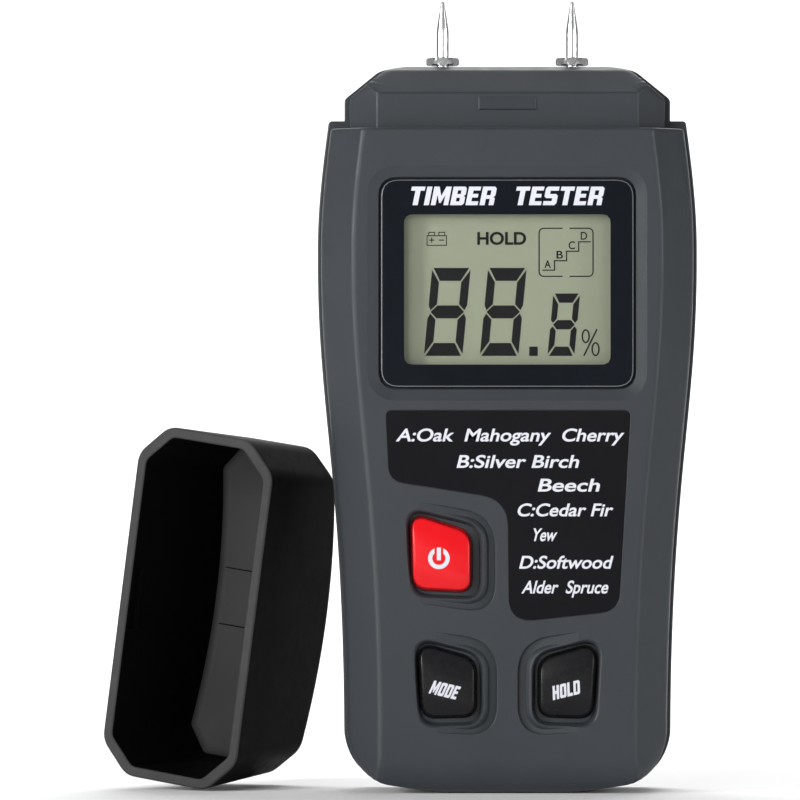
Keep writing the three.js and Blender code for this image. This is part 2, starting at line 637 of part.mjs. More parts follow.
// Cover with grip ribs above its hinge tabs, and a latch tongue at its top
function batteryDoor() {
  const outline = roundedBox(DOOR_HALF, DOOR_BOTTOM, DOOR_TOP, 1.0);
  let door = slab(outline, DOOR_INNER, BACK);
  for (let index = 0; index < GRIP_GROOVES; index += 1) {
    const z = DOOR_TOP - 6 - index * GRIP_PITCH;
    door = door.subtract(block(-GRIP_HALF, GRIP_HALF, BACK - GRIP_DEPTH, BACK + 1, z - 0.5, z + 0.5));
  }
  const root = DOOR_INNER + 0.5;
  for (const side of [-1, 1]) {
    const x = side * (TRAY_HALF - 4);
    const tabFront = DOOR_INNER - TAB_REACH;
    door = door.add(block(x - TAB_HALF, x + TAB_HALF, tabFront, root, TRAY_BOTTOM + 0.5, TRAY_BOTTOM + 1.7));
  }
  const tongueFront = DOOR_INNER - TONGUE_REACH;
  const tongue = block(-TONGUE_HALF, TONGUE_HALF, tongueFront, root, TRAY_TOP - 1.6, TRAY_TOP - FIT);
  return door.add(tongue);
}

piece('front_shell', frontShell(), SLATE);
piece('back_shell', backShell(), SLATE);
piece('battery_door', batteryDoor(), SLATE);

// ---------------------------------------------------------------- display
const lensOutline = roundedBox(LENS_HALF, LENS_BOTTOM, LENS_TOP, LENS_CORNER);
piece('display_lens', slab(lensOutline, LENS_BACK - LENS_THICK, LENS_BACK, 5), BLACK_GLOSS);

const labelFront = FRONT + 0.02;
piece('wood_group_label', slab(rounded(LABEL_CORNERS), labelFront, labelFront + LABEL_THICK - 0.02, 5),
  LABEL_BLACK);

const LCD_HALF = WINDOW_HALF + 3;
const LCD_BOTTOM = WINDOW_BOTTOM - 4.6;
const LCD_TOP = WINDOW_TOP + 3.6;
const LCD_FRONT = INNER_FRONT + FIT;
const LCD_BACK = LCD_FRONT + LCD_THICK;
const glass = block(-LCD_HALF, LCD_HALF, LCD_FRONT, LCD_BACK, LCD_BOTTOM, LCD_TOP);
// The rear glass plate stops short of the front one at the top
const glassStep = block(
  -LCD_HALF - 1, LCD_HALF + 1, LCD_FRONT + LCD_THICK / 2, LCD_BACK + 1, LCD_TOP - 1.8, LCD_TOP + 1,
);
piece('lcd_glass', glass.subtract(glassStep), LCD_GREEN);

const FRAME_RIM = 1.7;
function lcdFrame() {
  const ledge = LCD_BACK + FIT;
  const outer = block(
    -LCD_HALF - FRAME_RIM, LCD_HALF + FRAME_RIM, LCD_FRONT, BOARD_FRONT - FIT,
    LCD_BOTTOM - FRAME_RIM, LCD_TOP + FRAME_RIM,
  );
  const pocket = block(
    -LCD_HALF - FIT, LCD_HALF + FIT, LCD_FRONT - 1, ledge, LCD_BOTTOM - FIT, LCD_TOP + FIT,
  );
  const through = block(
    -LCD_HALF + 1.6, LCD_HALF - 1.6, LCD_FRONT - 1, BOARD_FRONT + 1, LCD_BOTTOM + 0.8, LCD_TOP - 3,
  );
  return outer.subtract(pocket).subtract(through);
}
piece('lcd_frame', lcdFrame(), IVORY);
piece('lcd_connector', block(
  -LCD_HALF + 1.6 + FIT, LCD_HALF - 1.6 - FIT, LCD_BACK + FIT, BOARD_FRONT - FIT,
  LCD_BOTTOM + 0.8 + FIT, LCD_BOTTOM + 3.4,
), RUBBER_GREY);

// ---------------------------------------------------------------- keys and their switches
// Key cap with a bright middle facet between two facets that fall away, and a flange behind the wall
function keyCap(corners) {
  const edge = FRONT + 0.35;
  const crown = FRONT - KEY_CROWN;
  const [, middle] = middleOf(corners);
  const low = Math.min(...corners.map(([, z]) => z));
  const high = Math.max(...corners.map(([, z]) => z));
  const tilt = corners[0][0] + corners[1][0] > 0 ? 1 : -1;
  const roof = new THREE.Shape();
  roof.moveTo(FLANGE_FRONT + 5, low - 6);
  roof.lineTo(FLANGE_FRONT + 5, high + 6);
  roof.lineTo(edge + 0.7, high + 6);
  roof.lineTo(edge, high);
  roof.lineTo(crown, middle + 2.7);
  roof.lineTo(crown, middle - 2.7);
  roof.lineTo(edge, low);
  roof.lineTo(edge + 0.7, low - 6);
  roof.closePath();
  const options = { depth: 60, bevelEnabled: false };
  const ridge = new THREE.ExtrudeGeometry(roof, options);
  ridge.rotateX(Math.PI / 2);
  ridge.rotateZ(Math.PI / 2);
  ridge.translate(-30, 0, -middle);
  ridge.rotateY(THREE.MathUtils.degToRad(-tilt * 13));
  const [across] = middleOf(corners);
  ridge.translate(across, 0, middle);
  const stem = slab(rounded(corners), crown - 1, FLANGE_FRONT + 0.4, 5).intersect(solid(ridge));
  return stem.add(slab(rounded(grown(corners, FLANGE_WIDTH)), FLANGE_FRONT, FLANGE_BACK));
}

for (const { name, outlines, finish } of KEYS) {
  const [x, z] = middleOf(outlines.key);
  piece(`${name}_button`, keyCap(outlines.key), finish);
  const half = SWITCH_SIDE / 2;
  const bore = barY(x, z, PLUNGER_RADIUS + FIT, SWITCH_FRONT - 1, SWITCH_BACK - 0.3);
  let body = block(x - half, x + half, SWITCH_FRONT, SWITCH_BACK, z - half, z + half).subtract(bore);
  for (const [legX, legZ] of [[-1, -1], [1, -1], [-1, 1], [1, 1]]) {
    const centre = x + legX * (half + 0.5);
    const height = z + legZ * (half - 0.8);
    const leg = block(centre - 0.7, centre + 0.7, SWITCH_BACK - 0.5, SWITCH_BACK, height - 0.4, height + 0.4);
    body = body.add(leg);
  }
  piece(`${name}_switch`, body, CHIP_BLACK);
  const tip = FLANGE_BACK + FIT;
  const seat = SWITCH_BACK - 0.3 - KEY_TRAVEL - FIT;
  const shaft = barY(x, z, PLUNGER_RADIUS, tip + 0.3, seat);
  piece(`${name}_plunger`, shaft.add(barY(x, z, PLUNGER_RADIUS - 0.3, tip, tip + 0.5)), IVORY);
}

// ---------------------------------------------------------------- circuit board
function mainBoard() {
  const outline = roundedBox(BOARD_HALF, BOARD_BOTTOM, BOARD_TOP, 2.5);
  let board = slab(outline, BOARD_FRONT, BOARD_BACK);
  for (const [x, z] of BOARD_SCREW_PLACES) {
    board = board.subtract(barY(x, z, BOARD_SCREW_RADIUS + FIT, BOARD_FRONT - 1, BOARD_BACK + 1));
  }
  return board;
}
piece('main_board', mainBoard(), BOARD_GREEN);

const chipFront = BOARD_BACK + FIT;
let chip = block(-CHIP_HALF, CHIP_HALF, chipFront, chipFront + 1.4, CHIP_BOTTOM, CHIP_BOTTOM + CHIP_HEIGHT);
for (let pin = 0; pin < CHIP_LEGS; pin += 1) {
  const x = (pin - (CHIP_LEGS - 1) / 2) * CHIP_LEG_PITCH;
  chip = chip.add(block(
    x - 0.4, x + 0.4, chipFront, chipFront + 0.5, CHIP_BOTTOM - 1.2, CHIP_BOTTOM + CHIP_HEIGHT + 1.2,
  ));
}
piece('controller_chip', chip, CHIP_BLACK);
const canTop = CAN_BOTTOM + CAN_HEIGHT;
const capacitor = turned([
  [0, CAN_BOTTOM], [CAN_RADIUS, CAN_BOTTOM], [CAN_RADIUS, canTop - 0.4], [CAN_RADIUS - 0.3, canTop], [0, canTop],
], CAN_X, BOARD_BACK + FIT + CAN_RADIUS, 16);
piece('supply_capacitor', capacitor, CHIP_BLACK);

// ---------------------------------------------------------------- pins and electrodes
const SOCKET_BOTTOM = NECK_TOP - 13.8;
const SOCKET_TOP = NECK_TOP - WALL - FIT;
const SOCKET_RADIUS = 2.6;
const STUD_BOTTOM = SOCKET_BOTTOM + 3;
const TIP_Z = NECK_TOP + PIN_REACH;

function electrodeBlock() {
  const reach = PIN_SPACING / 2 + 5.5;
  const room = NECK_RIM_STEP + WALL + NECK_BEVEL - FIT;
  let carrier = block(
    -reach, reach, NECK_FRONT + room, NECK_BACK - room, SOCKET_BOTTOM + 0.3, SOCKET_TOP - 1.4,
  );
  for (const side of [-1, 1]) {
    const x = (side * PIN_SPACING) / 2;
    carrier = carrier.subtract(barZ(x, 0, SOCKET_RADIUS + FIT, SOCKET_BOTTOM - 1, SOCKET_TOP + 1));
  }
  return carrier.subtract(block(-5, 5, -7, 7, SOCKET_BOTTOM - 1, SOCKET_BOTTOM + 5));
}
piece('electrode_block', electrodeBlock(), IVORY);

for (const [side, name] of [[-1, 'left'], [1, 'right']]) {
  const x = (side * PIN_SPACING) / 2;
  const point = TIP_Z - PIN_TAPER;
  piece(`pin_${name}`, turned([
    [0, STUD_BOTTOM], [PIN_RADIUS, STUD_BOTTOM], [PIN_RADIUS, point], [PIN_TIP_RADIUS, TIP_Z - 0.3],
    [PIN_TIP_RADIUS * 0.6, TIP_Z], [0, TIP_Z],
  ], x, 0, 16), BRIGHT_METAL);

  const hexRadius = NUT_FLATS / Math.sqrt(3);
  const nutBottom = NECK_TOP + 0.3;
  const nutTop = nutBottom + NUT_HEIGHT;
  const hex = turned([[0, nutBottom], [hexRadius, nutBottom], [hexRadius, nutTop], [0, nutTop]], x, 0, 6);
  const dome = turned([
    [0, nutBottom], [hexRadius, nutBottom], [hexRadius, nutTop - 0.35], [NUT_FLATS / 2 - 0.1, nutTop], [0, nutTop],
  ], x, 0, 24);
  const bore = barZ(x, 0, PIN_RADIUS + FIT, nutBottom - 1, nutTop + 1, 16);
  piece(`pin_nut_${name}`, hex.intersect(dome).subtract(bore), BRIGHT_METAL);

  const well = barZ(x, 0, PIN_RADIUS + FIT, STUD_BOTTOM - FIT, SOCKET_TOP + 1, 16);
  piece(`pin_socket_${name}`, barZ(x, 0, SOCKET_RADIUS, SOCKET_BOTTOM, SOCKET_TOP).subtract(well), BRASS);

  const tabTop = SOCKET_BOTTOM - FIT;
  const tabBottom = tabTop - 0.6;
  const stripFront = BOARD_BACK + FIT;
  const foot = BOARD_TOP - 6;
  const strip = block(x - 2, x + 2, stripFront, stripFront + 0.6, foot, tabTop)
    .add(block(x - 2, x + 2, stripFront, 2.6, tabBottom, tabTop));
  piece(`pin_lead_${name}`, strip, BRASS);
}

// ---------------------------------------------------------------- cells, springs and contacts
class SpringPath extends THREE.Curve {
  constructor(x, bottom, flipped) {
    super();
    Object.assign(this, { x, bottom, flipped });
  }

  getPoint(t, target = new THREE.Vector3()) {
    const angle = 2 * Math.PI * SPRING_TURNS * t;
    const radius = SPRING_RADIUS * (this.flipped ? 0.65 + 0.35 * t : 1 - 0.35 * t);
    const z = this.bottom + t * (SPRING_HEIGHT - 2 * SPRING_WIRE);
    return target.set(this.x + radius * Math.cos(angle), CELL_Y + radius * Math.sin(angle), z);
  }
}

function spring(x, bottom, flipped) {
  const wire = new THREE.Shape();
  wire.absarc(0, 0, SPRING_WIRE, 0, 2 * Math.PI, false);
  const path = new SpringPath(x, bottom + SPRING_WIRE, flipped);
  const options = { steps: Math.round(9 * SPRING_TURNS), extrudePath: path, curveSegments: 2 };
  return solid(new THREE.ExtrudeGeometry(wire, options));
}

function cell(x, bottom, nubUp) {
  const shoulder = 0.5;
  const profile = [
    [0, 0], [CELL_RADIUS - shoulder, 0], [CELL_RADIUS, shoulder],
    [CELL_RADIUS, CELL_BODY - shoulder], [CELL_RADIUS - shoulder, CELL_BODY],
    [CELL_NUB_RADIUS, CELL_BODY], [CELL_NUB_RADIUS, CELL_LENGTH], [0, CELL_LENGTH],
  ];
  const placed = nubUp
    ? profile.map(([radius, z]) => [radius, bottom + z])
    : profile.map(([radius, z]) => [radius, bottom + CELL_LENGTH - z]).reverse();
  return turned(placed, x, CELL_Y, 24);
}

const plateHigh = TRAY_TOP - FIT;
const plateLow = TRAY_BOTTOM + FIT;
const cellLow = plateLow + CONTACT_THICK + FIT;
const cellHigh = plateHigh - CONTACT_THICK - FIT - CELL_LENGTH;
[-1, 0, 1].forEach((slot, index) => {
  const x = slot * CELL_PITCH;
  const nubUp = slot !== 0;
  piece(`cell_${index + 1}`, cell(x, nubUp ? cellHigh : cellLow, nubUp), CELL_COLOUR);
  const springBottom = nubUp
    ? plateLow + CONTACT_THICK + FIT
    : plateHigh - CONTACT_THICK - FIT - SPRING_HEIGHT;
  piece(`battery_spring_${index + 1}`, spring(x, springBottom, !nubUp), STEEL);
});

// A contact plate across the tray's end wall, from one cell to another
function contactPlate(fromX, toX, bottom) {
  const half = 4.2;
  return block(fromX - half, toX + half, CELL_Y - 3.8, CELL_Y + 3.8, bottom, bottom + CONTACT_THICK);
}
const platesTop = plateHigh - CONTACT_THICK;
piece('contact_negative', contactPlate(-CELL_PITCH, -CELL_PITCH, plateLow), STEEL);
piece('contact_bridge_low', contactPlate(0, CELL_PITCH, plateLow), STEEL);
piece('contact_bridge_high', contactPlate(-CELL_PITCH, 0, platesTop), STEEL);
piece('contact_positive', contactPlate(CELL_PITCH, CELL_PITCH, platesTop), STEEL);

// ---------------------------------------------------------------- screws
// A cross-recessed screw along y, its head towards the back
function screw(x, z, radius, headRadius, head, tip, seat) {
  const shank = barY(x, z, radius, tip + radius, seat + 0.2, 14);
  const point = new THREE.CylinderGeometry(radius, radius * 0.3, radius, 14);
  point.translate(x, tip + radius / 2, z);
  const cap = barY(x, z, headRadius, seat, seat + head, 18);
  const slot = headRadius * 0.62;
  const blade = headRadius * 0.15;
  const top = seat + head;
  const cross = block(x - slot, x + slot, top - head * 0.55, top + 1, z - blade, z + blade)
    .add(block(x - blade, x + blade, top - head * 0.55, top + 1, z - slot, z + slot));
  return shank.add(solid(point)).add(cap).subtract(cross);
}

SCREW_PLACES.forEach(([x, z], index) => {
  const seat = BACK / 2 + FIT;
  const body = screw(x, z, SCREW_RADIUS, SCREW_HEAD_RADIUS, SCREW_HEAD, FRONT + 3.5 + FIT, seat);
  piece(`case_screw_${index + 1}`, body, STEEL);
});
BOARD_SCREW_PLACES.forEach(([x, z], index) => {
  const body = screw(
    x, z, BOARD_SCREW_RADIUS, BOARD_SCREW_HEAD_RADIUS, 1.1, FRONT + 3.5 + FIT, BOARD_BACK + FIT,
  );
  piece(`board_screw_${index + 1}`, body, STEEL);
});

// ---------------------------------------------------------------- protective cap
// In its own frame the cap's mouth is centred on the origin and faces -Z
// A cap-shaped solid with its mouth at z = 0 and a domed end; the doming is shallow the other way
function capForm(half, depth, corner, length, crown) {
  const taper = (CAP_TAPER * length) / CAP_LENGTH;
  const frontView = new THREE.Shape();
  frontView.moveTo(-half, 0);
  frontView.lineTo(half, 0);
  frontView.lineTo(half - taper, length - crown);
  frontView.quadraticCurveTo(0, length + crown, -(half - taper), length - crown);
  frontView.closePath();
  const sideView = new THREE.Shape();
  sideView.moveTo(-depth, 0);
  sideView.lineTo(depth, 0);
  sideView.lineTo(depth - taper, length - CAP_END_DOME);
  sideView.quadraticCurveTo(0, length + CAP_END_DOME, -(depth - taper), length - CAP_END_DOME);
  sideView.closePath();
  return slab(frontView, -CASE_DEPTH, CASE_DEPTH, 12)
    .intersect(crossPrism(sideView, 4 * half, 4))
    .intersect(column(cutRectangle(-half, half, -depth, depth, corner), -1, length + 5));
}

function protectiveCap() {
  const outer = capForm(CAP_OUTER_HALF, CAP_OUTER_DEPTH, CAP_CORNER, CAP_LENGTH, CAP_CROWN);
  const hollowLength = CAP_LENGTH - CAP_END;
  const hollow = capForm(CAP_INNER_HALF, CAP_INNER_DEPTH, NECK_CORNER - 0.1, hollowLength, CAP_CROWN * 0.9);
  const groove = block(
    -CATCH_WIDTH / 2 - 0.5, CATCH_WIDTH / 2 + 0.5, -CAP_INNER_DEPTH - 0.5, -CAP_INNER_DEPTH + 2, ...CAP_GROOVE,
  );
  return outer.subtract(hollow).subtract(groove);
}

// The cap stands on one end of its mouth, turned to the left and leaning to the right
const capTurn = THREE.MathUtils.degToRad(CAP_TURN);
const lean = THREE.MathUtils.degToRad(CAP_LEAN);
const capRise = CAP_OUTER_HALF * Math.cos(lean) + (CAP_OUTER_DEPTH - CAP_CORNER) * Math.sin(lean);
const capPose = new THREE.Group();
capPose.position.set(
  -(CASE_HALF + CAP_STAND_OFF + CAP_OUTER_DEPTH), -CAP_FORWARD, capRise + CAP_GROUND_GAP,
);
capPose.rotation.z = capTurn;
const capLean = new THREE.Group();
capLean.rotation.y = lean;
const capTip = new THREE.Group();
// Own width runs up the picture, own length runs away from the viewer
capTip.matrixAutoUpdate = false;
capTip.matrix.makeBasis(
  new THREE.Vector3(0, 0, 1), new THREE.Vector3(1, 0, 0), new THREE.Vector3(0, 1, 0),
);
capLean.add(capTip);
capPose.add(capLean);
model.add(capPose);
piece('protective_cap', protectiveCap(), BLACK_SATIN, capTip);

export default model;
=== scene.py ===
"""Two-pin moisture meter with its protective cap leaning beside it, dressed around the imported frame.

Sizes in the classes are millimetres, and meshes are made in metres. +Z runs up along the pins, the
display faces -Y and +X is to the right of someone who reads it.
"""

from __future__ import annotations

import json
import logging
import math
from dataclasses import dataclass, field
from enum import Enum
from typing import Iterable, Sequence

import bmesh
import bpy
import numpy as np
from mathutils import Matrix, Vector


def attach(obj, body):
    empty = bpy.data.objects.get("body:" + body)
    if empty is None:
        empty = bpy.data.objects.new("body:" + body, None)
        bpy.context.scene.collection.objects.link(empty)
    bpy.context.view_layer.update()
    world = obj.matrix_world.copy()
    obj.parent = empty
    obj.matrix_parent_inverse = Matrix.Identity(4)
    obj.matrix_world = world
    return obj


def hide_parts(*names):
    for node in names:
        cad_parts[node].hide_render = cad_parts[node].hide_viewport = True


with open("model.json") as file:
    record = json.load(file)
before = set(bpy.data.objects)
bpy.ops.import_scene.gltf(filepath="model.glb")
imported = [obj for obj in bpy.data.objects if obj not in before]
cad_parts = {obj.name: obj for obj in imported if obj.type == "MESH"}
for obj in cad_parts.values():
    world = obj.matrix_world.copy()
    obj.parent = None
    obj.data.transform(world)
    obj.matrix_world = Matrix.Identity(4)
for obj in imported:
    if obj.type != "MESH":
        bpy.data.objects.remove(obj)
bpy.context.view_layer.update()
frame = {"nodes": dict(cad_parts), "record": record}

MM = 0.001
log = logging.getLogger("moisture_meter")
Loop = np.ndarray
Corner = tuple[float, float, float]


class Body(Enum):
    """The moving groups of the frame."""

    METER = "meter"
    POWER = "power_key"
    MODE = "mode_key"
    HOLD = "hold_key"
    COVER = "battery_cover"
    CAP = "cap"


class Side(Enum):
    """Which way a half of the case faces; the value leads from its face into the body."""

    FRONT = 1.0
    BACK = -1.0


# ------------------------------------------------------------------ finishes
class Graph:
    """A small hand for building node trees."""

    def __init__(self, tree: bpy.types.NodeTree) -> None:
        """Keep the tree that nodes are added to."""
        self.tree = tree

    def add(self, kind: str, **settings: object) -> bpy.types.Node:
        """Add one node.

        Args:
            kind: Blender's node type.
            settings: Attributes to set; a key that starts with "in_" sets the input of that name.

        Returns:
            The new node.
        """
        node = self.tree.nodes.new(kind)
        for key, value in settings.items():
            if key.startswith("in_"):
                node.inputs[key[3:].replace("_", " ")].default_value = value
            else:
                setattr(node, key, value)
        return node

    def link(self, source: bpy.types.NodeSocket, target: bpy.types.NodeSocket) -> None:
        """Join an output to an input."""
        self.tree.links.new(source, target)

    def noise(self, scale: float, detail: float = 3.0,
              stretch: Sequence[float] = (1, 1, 1)) -> bpy.types.NodeSocket:
        """A noise on object coordinates.

        Args:
            scale: Cells per metre.
            detail: Octaves.
            stretch: Factors along x, y and z.

        Returns:
            The noise's value socket.
        """
        place = self.add("ShaderNodeTexCoord")
        mapping = self.add("ShaderNodeMapping")
        mapping.inputs["Scale"].default_value = stretch
        self.link(place.outputs["Object"], mapping.inputs["Vector"])
        noise = self.add("ShaderNodeTexNoise", in_Scale=scale, in_Detail=detail)
        self.link(mapping.outputs["Vector"], noise.inputs["Vector"])
        return noise.outputs["Fac"]

    def between(self, value: bpy.types.NodeSocket, low: float, high: float, near: float = 0.3,
                far: float = 0.7) -> bpy.types.NodeSocket:
        """Map a value from near..far to low..high.

        Args:
            value: The socket that is mapped.
            low: Result at near.
            high: Result at far.
            near: Lower end of the input.
            far: Upper end of the input.

        Returns:
            The mapped socket.
        """
        node = self.add("ShaderNodeMapRange")
        for name, number in (("From Min", near), ("From Max", far), ("To Min", low), ("To Max", high)):
            node.inputs[name].default_value = number
        self.link(value, node.inputs["Value"])
        return node.outputs["Result"]

    def mixed(self, factor: bpy.types.NodeSocket, first: Sequence[float],
              second: Sequence[float]) -> bpy.types.NodeSocket:
        """Mix two colours by a factor.

        Args:
            factor: 0 for the first colour, 1 for the second.
            first: Linear colour.
            second: Linear colour.

        Returns:
            The colour socket.
        """
        node = self.add("ShaderNodeMix", data_type="RGBA")
        node.inputs[6].default_value = (*first, 1)
        node.inputs[7].default_value = (*second, 1)
        self.link(factor, node.inputs[0])
        return node.outputs[2]


@dataclass(frozen=True)
class Finish:
    """One surface finish: colour, gloss, grain and the slight unevenness of a made surface."""

    name: str
    slot: str
    colour: tuple[float, float, float]
    roughness: float = 0.5
    spread: float = 0.06
    tone: float = 0.1
    cloud: float = 90.0
    grain: float = 3200.0
    depth: float = 0.012
    metallic: float = 0.0
    specular: float = 0.5
    coat: float = 0.0
    coat_roughness: float = 0.08
    stretch: tuple[float, float, float] = (1.0, 1.0, 1.0)
    scuffs: float = 0.0

    def material(self) -> bpy.types.Material:
        """Build the material the first time, and hand the same one back afterwards.

        Returns:
            The node material.
        """
        known = bpy.data.materials.get(self.name)
        if known:
            return known
        made = bpy.data.materials.new(self.name)
        made.use_nodes = True
        graph = Graph(made.node_tree)
        shader = made.node_tree.nodes["Principled BSDF"]
        shader.inputs["Metallic"].default_value = self.metallic
        shader.inputs["Specular IOR Level"].default_value = self.specular
        shader.inputs["Coat Weight"].default_value = self.coat
        shader.inputs["Coat Roughness"].default_value = self.coat_roughness
        cloud = graph.between(graph.noise(self.cloud, 4.0), 0.0, 1.0)
        dark = tuple(c * (1 - self.tone) for c in self.colour)
        light = tuple(c * (1 + self.tone) for c in self.colour)
        graph.link(self.pattern(graph, graph.mixed(cloud, dark, light)), shader.inputs["Base Color"])
        uneven = graph.noise(self.cloud * 7, 5.0, self.stretch)
        rough = graph.between(uneven, self.roughness - self.spread, self.roughness + self.spread)
        if self.scuffs:
            rough = self.scuffed(graph, rough)
        graph.link(rough, shader.inputs["Roughness"])
        fine = graph.noise(self.grain, 2.0, self.stretch)
        bump = graph.add("ShaderNodeBump", in_Strength=1.0)
        bump.inputs["Distance"].default_value = self.depth * MM
        graph.link(fine, bump.inputs["Height"])
        graph.link(bump.outputs["Normal"], shader.inputs["Normal"])
        return made

    def scuffed(self, graph: Graph, rough: bpy.types.NodeSocket) -> bpy.types.NodeSocket:
        """Add fine hairline scuffs to the roughness.

        Args:
            graph: The tree that is built.
            rough: Roughness so far.

        Returns:
            Roughness with the scuffs added.
        """
        hair = graph.noise(260.0, 6.0, (1.0, 1.0, 14.0))
        lines = graph.between(hair, 0.0, self.scuffs, 0.6, 0.72)
        total = graph.add("ShaderNodeMath", operation="ADD")
        graph.link(rough, total.inputs[0])
        graph.link(lines, total.inputs[1])
        return total.outputs[0]

    def pattern(self, graph: Graph, colour: bpy.types.NodeSocket) -> bpy.types.NodeSocket:
        """The plain finish has no pattern of its own."""
        return colour


@dataclass(frozen=True)
class Striped(Finish):
    """A finish with fine even bands, as on a layered rubber strip or a printed wrap."""

    second: tuple[float, float, float] = (0.5, 0.5, 0.5)
    pitch: float = 0.5
    axis: str = "X"
    share: float = 0.5

    def pattern(self, graph: Graph, colour: bpy.types.NodeSocket) -> bpy.types.NodeSocket:
        """Lay the bands over the colour.

        Args:
            graph: The tree that is built.
            colour: The colour under the bands.

        Returns:
            The banded colour.
        """
        place = graph.add("ShaderNodeTexCoord")
        wave = graph.add("ShaderNodeTexWave", bands_direction=self.axis, wave_profile="SIN")
        wave.inputs["Scale"].default_value = 0.314 / (self.pitch * MM)
        graph.link(place.outputs["Object"], wave.inputs["Vector"])
        edge = graph.between(wave.outputs["Fac"], 0.0, 1.0, self.share - 0.04, self.share + 0.04)
        mix = graph.add("ShaderNodeMix", data_type="RGBA")
        graph.link(edge, mix.inputs[0])
        graph.link(colour, mix.inputs[6])
        mix.inputs[7].default_value = (*self.second, 1)
        return mix.outputs[2]


@dataclass(frozen=True)
class Routed(Finish):
    """Solder mask with copper tracks under it."""

    track: tuple[float, float, float] = (0.03, 0.2, 0.07)

    def pattern(self, graph: Graph, colour: bpy.types.NodeSocket) -> bpy.types.NodeSocket:
        """Draw the tracks.

        Args:
            graph: The tree that is built.
            colour: The mask's colour.

        Returns:
            The mask with its tracks.
        """
        place = graph.add("ShaderNodeTexCoord")
        cells = graph.add("ShaderNodeTexVoronoi", feature="DISTANCE_TO_EDGE", in_Scale=260.0)
        graph.link(place.outputs["Object"], cells.inputs["Vector"])
        edge = graph.between(cells.outputs["Distance"], 1.0, 0.0, 0.05, 0.09)
        mix = graph.add("ShaderNodeMix", data_type="RGBA")
        graph.link(edge, mix.inputs[0])
        graph.link(colour, mix.inputs[6])
        mix.inputs[7].default_value = (*self.track, 1)
        return mix.outputs[2]


@dataclass(frozen=True)
class Clear:
    """Clear acrylic that shows the display behind it."""

    name: str = "clear_acrylic"
    slot: str = "lens_black"

    def material(self) -> bpy.types.Material:
        """Build the clear material.

        Returns:
            A see-through material with a faint gloss.
        """
        known = bpy.data.materials.get(self.name)
        if known:
            return known
        made = bpy.data.materials.new(self.name)
        made.use_nodes = True
        graph = Graph(made.node_tree)
        made.node_tree.nodes.remove(made.node_tree.nodes["Principled BSDF"])
        clear = graph.add("ShaderNodeBsdfTransparent")
        gloss = graph.add("ShaderNodeBsdfGlossy")
        gloss.inputs["Roughness"].default_value = 0.06
        shine = graph.between(graph.noise(500.0), 0.004, 0.009)
        haze = graph.between(graph.noise(700.0), 0.9, 1.0)
        tint = graph.add("ShaderNodeMix", data_type="RGBA")
        graph.link(haze, tint.inputs[0])
        tint.inputs[6].default_value = (0.93, 0.94, 0.93, 1)
        tint.inputs[7].default_value = (1, 1, 1, 1)
        graph.link(tint.outputs[2], clear.inputs["Color"])
        mix = graph.add("ShaderNodeMixShader")
        graph.link(shine, mix.inputs[0])
        graph.link(clear.outputs[0], mix.inputs[1])
        graph.link(gloss.outputs[0], mix.inputs[2])
        graph.link(mix.outputs[0], made.node_tree.nodes["Material Output"].inputs["Surface"])
        return made


SLATE = Finish("slate_case", "case_slate", (0.0295, 0.034, 0.039), 0.42, 0.05, 0.05, 60, 3600, 0.024,
               scuffs=0.05, specular=0.24)
CAP_BLACK = Finish("black_cap", "cap_black", (0.004, 0.004, 0.0045), 0.5, 0.04, 0.12, 70, 3600, 0.01,
                   specular=0.015, scuffs=0.06)
# Lighter copy of the black cap plastic for the inner floor of the domed end: painted light, standing in for
# lamp light falling inside the cap.
CAP_INSIDE_PAINTED_LIGHT = Finish("matt_cap_inside", "cap_black", (0.085, 0.085, 0.087), 0.6, 0.05, 0.1, 70, 3600, 0.012,
                    specular=0.2)
# Lighter copy of the black cap plastic for the mouth's rim: the matt finish is real, the lighter colour is a
# painted rim highlight.
CAP_RIM_PAINTED_LIGHT = Finish("matt_cap_rim", "cap_black", (0.028, 0.028, 0.029), 0.6, 0.05, 0.1, 70, 3600, 0.012,
                 specular=0.2)
# Lighter grey for the lens's front chamfer: a painted highlight line, not the lens's own colour.
LENS_EDGE_PAINTED_HIGHLIGHT = Finish("lens_edge", "lens_black", (0.10, 0.105, 0.115), 0.25, 0.04, 0.05, 200, 3000, 0.001)
LENS_BLACK = Finish("black_lens", "lens_black", (0.006, 0.008, 0.011), 0.12, 0.04, 0.1, 40, 900, 0.001,
                    specular=0.18)
FILM_BLACK = Finish("black_film", "label_black", (0.008, 0.008, 0.0095), 0.42, 0.05, 0.1, 80, 4200, 0.006,
                    specular=0.03)
LCD_GREEN = Finish("lcd_olive", "lcd_glass", (0.214, 0.235, 0.164), 0.35, 0.04, 0.025, 30, 5200, 0.004)
LCD_INK = Finish("lcd_ink", "lcd_ink", (0.002, 0.002, 0.003), 0.5, 0.05, 0.2, 300, 4000, 0.002, specular=0.2)
WHITE_PRINT = Finish("white_print", "white_print", (0.56, 0.57, 0.62), 0.5, 0.08, 0.03, 900, 6000, 0.006)
KEY_RED = Finish("red_key", "key_red", (0.62, 0.006, 0.010), 0.22, 0.04, 0.05, 120, 3800, 0.004, specular=0.3)
KEY_BLACK = Finish("black_key", "key_black", (0.009, 0.009, 0.010), 0.26, 0.04, 0.1, 120, 3800, 0.005,
                   specular=0.16)
IVORY = Finish("ivory_plastic", "ivory_plastic", (0.66, 0.64, 0.56), 0.45, 0.05, 0.04, 90, 3000, 0.01)
ZEBRA = Striped("zebra_rubber", "grey_rubber", (0.11, 0.11, 0.11), 0.7, second=(0.42, 0.42, 0.4), pitch=0.5)
EPOXY = Finish("black_epoxy", "black_component", (0.014, 0.014, 0.015), 0.55, 0.06, 0.15, 300, 5000, 0.01)
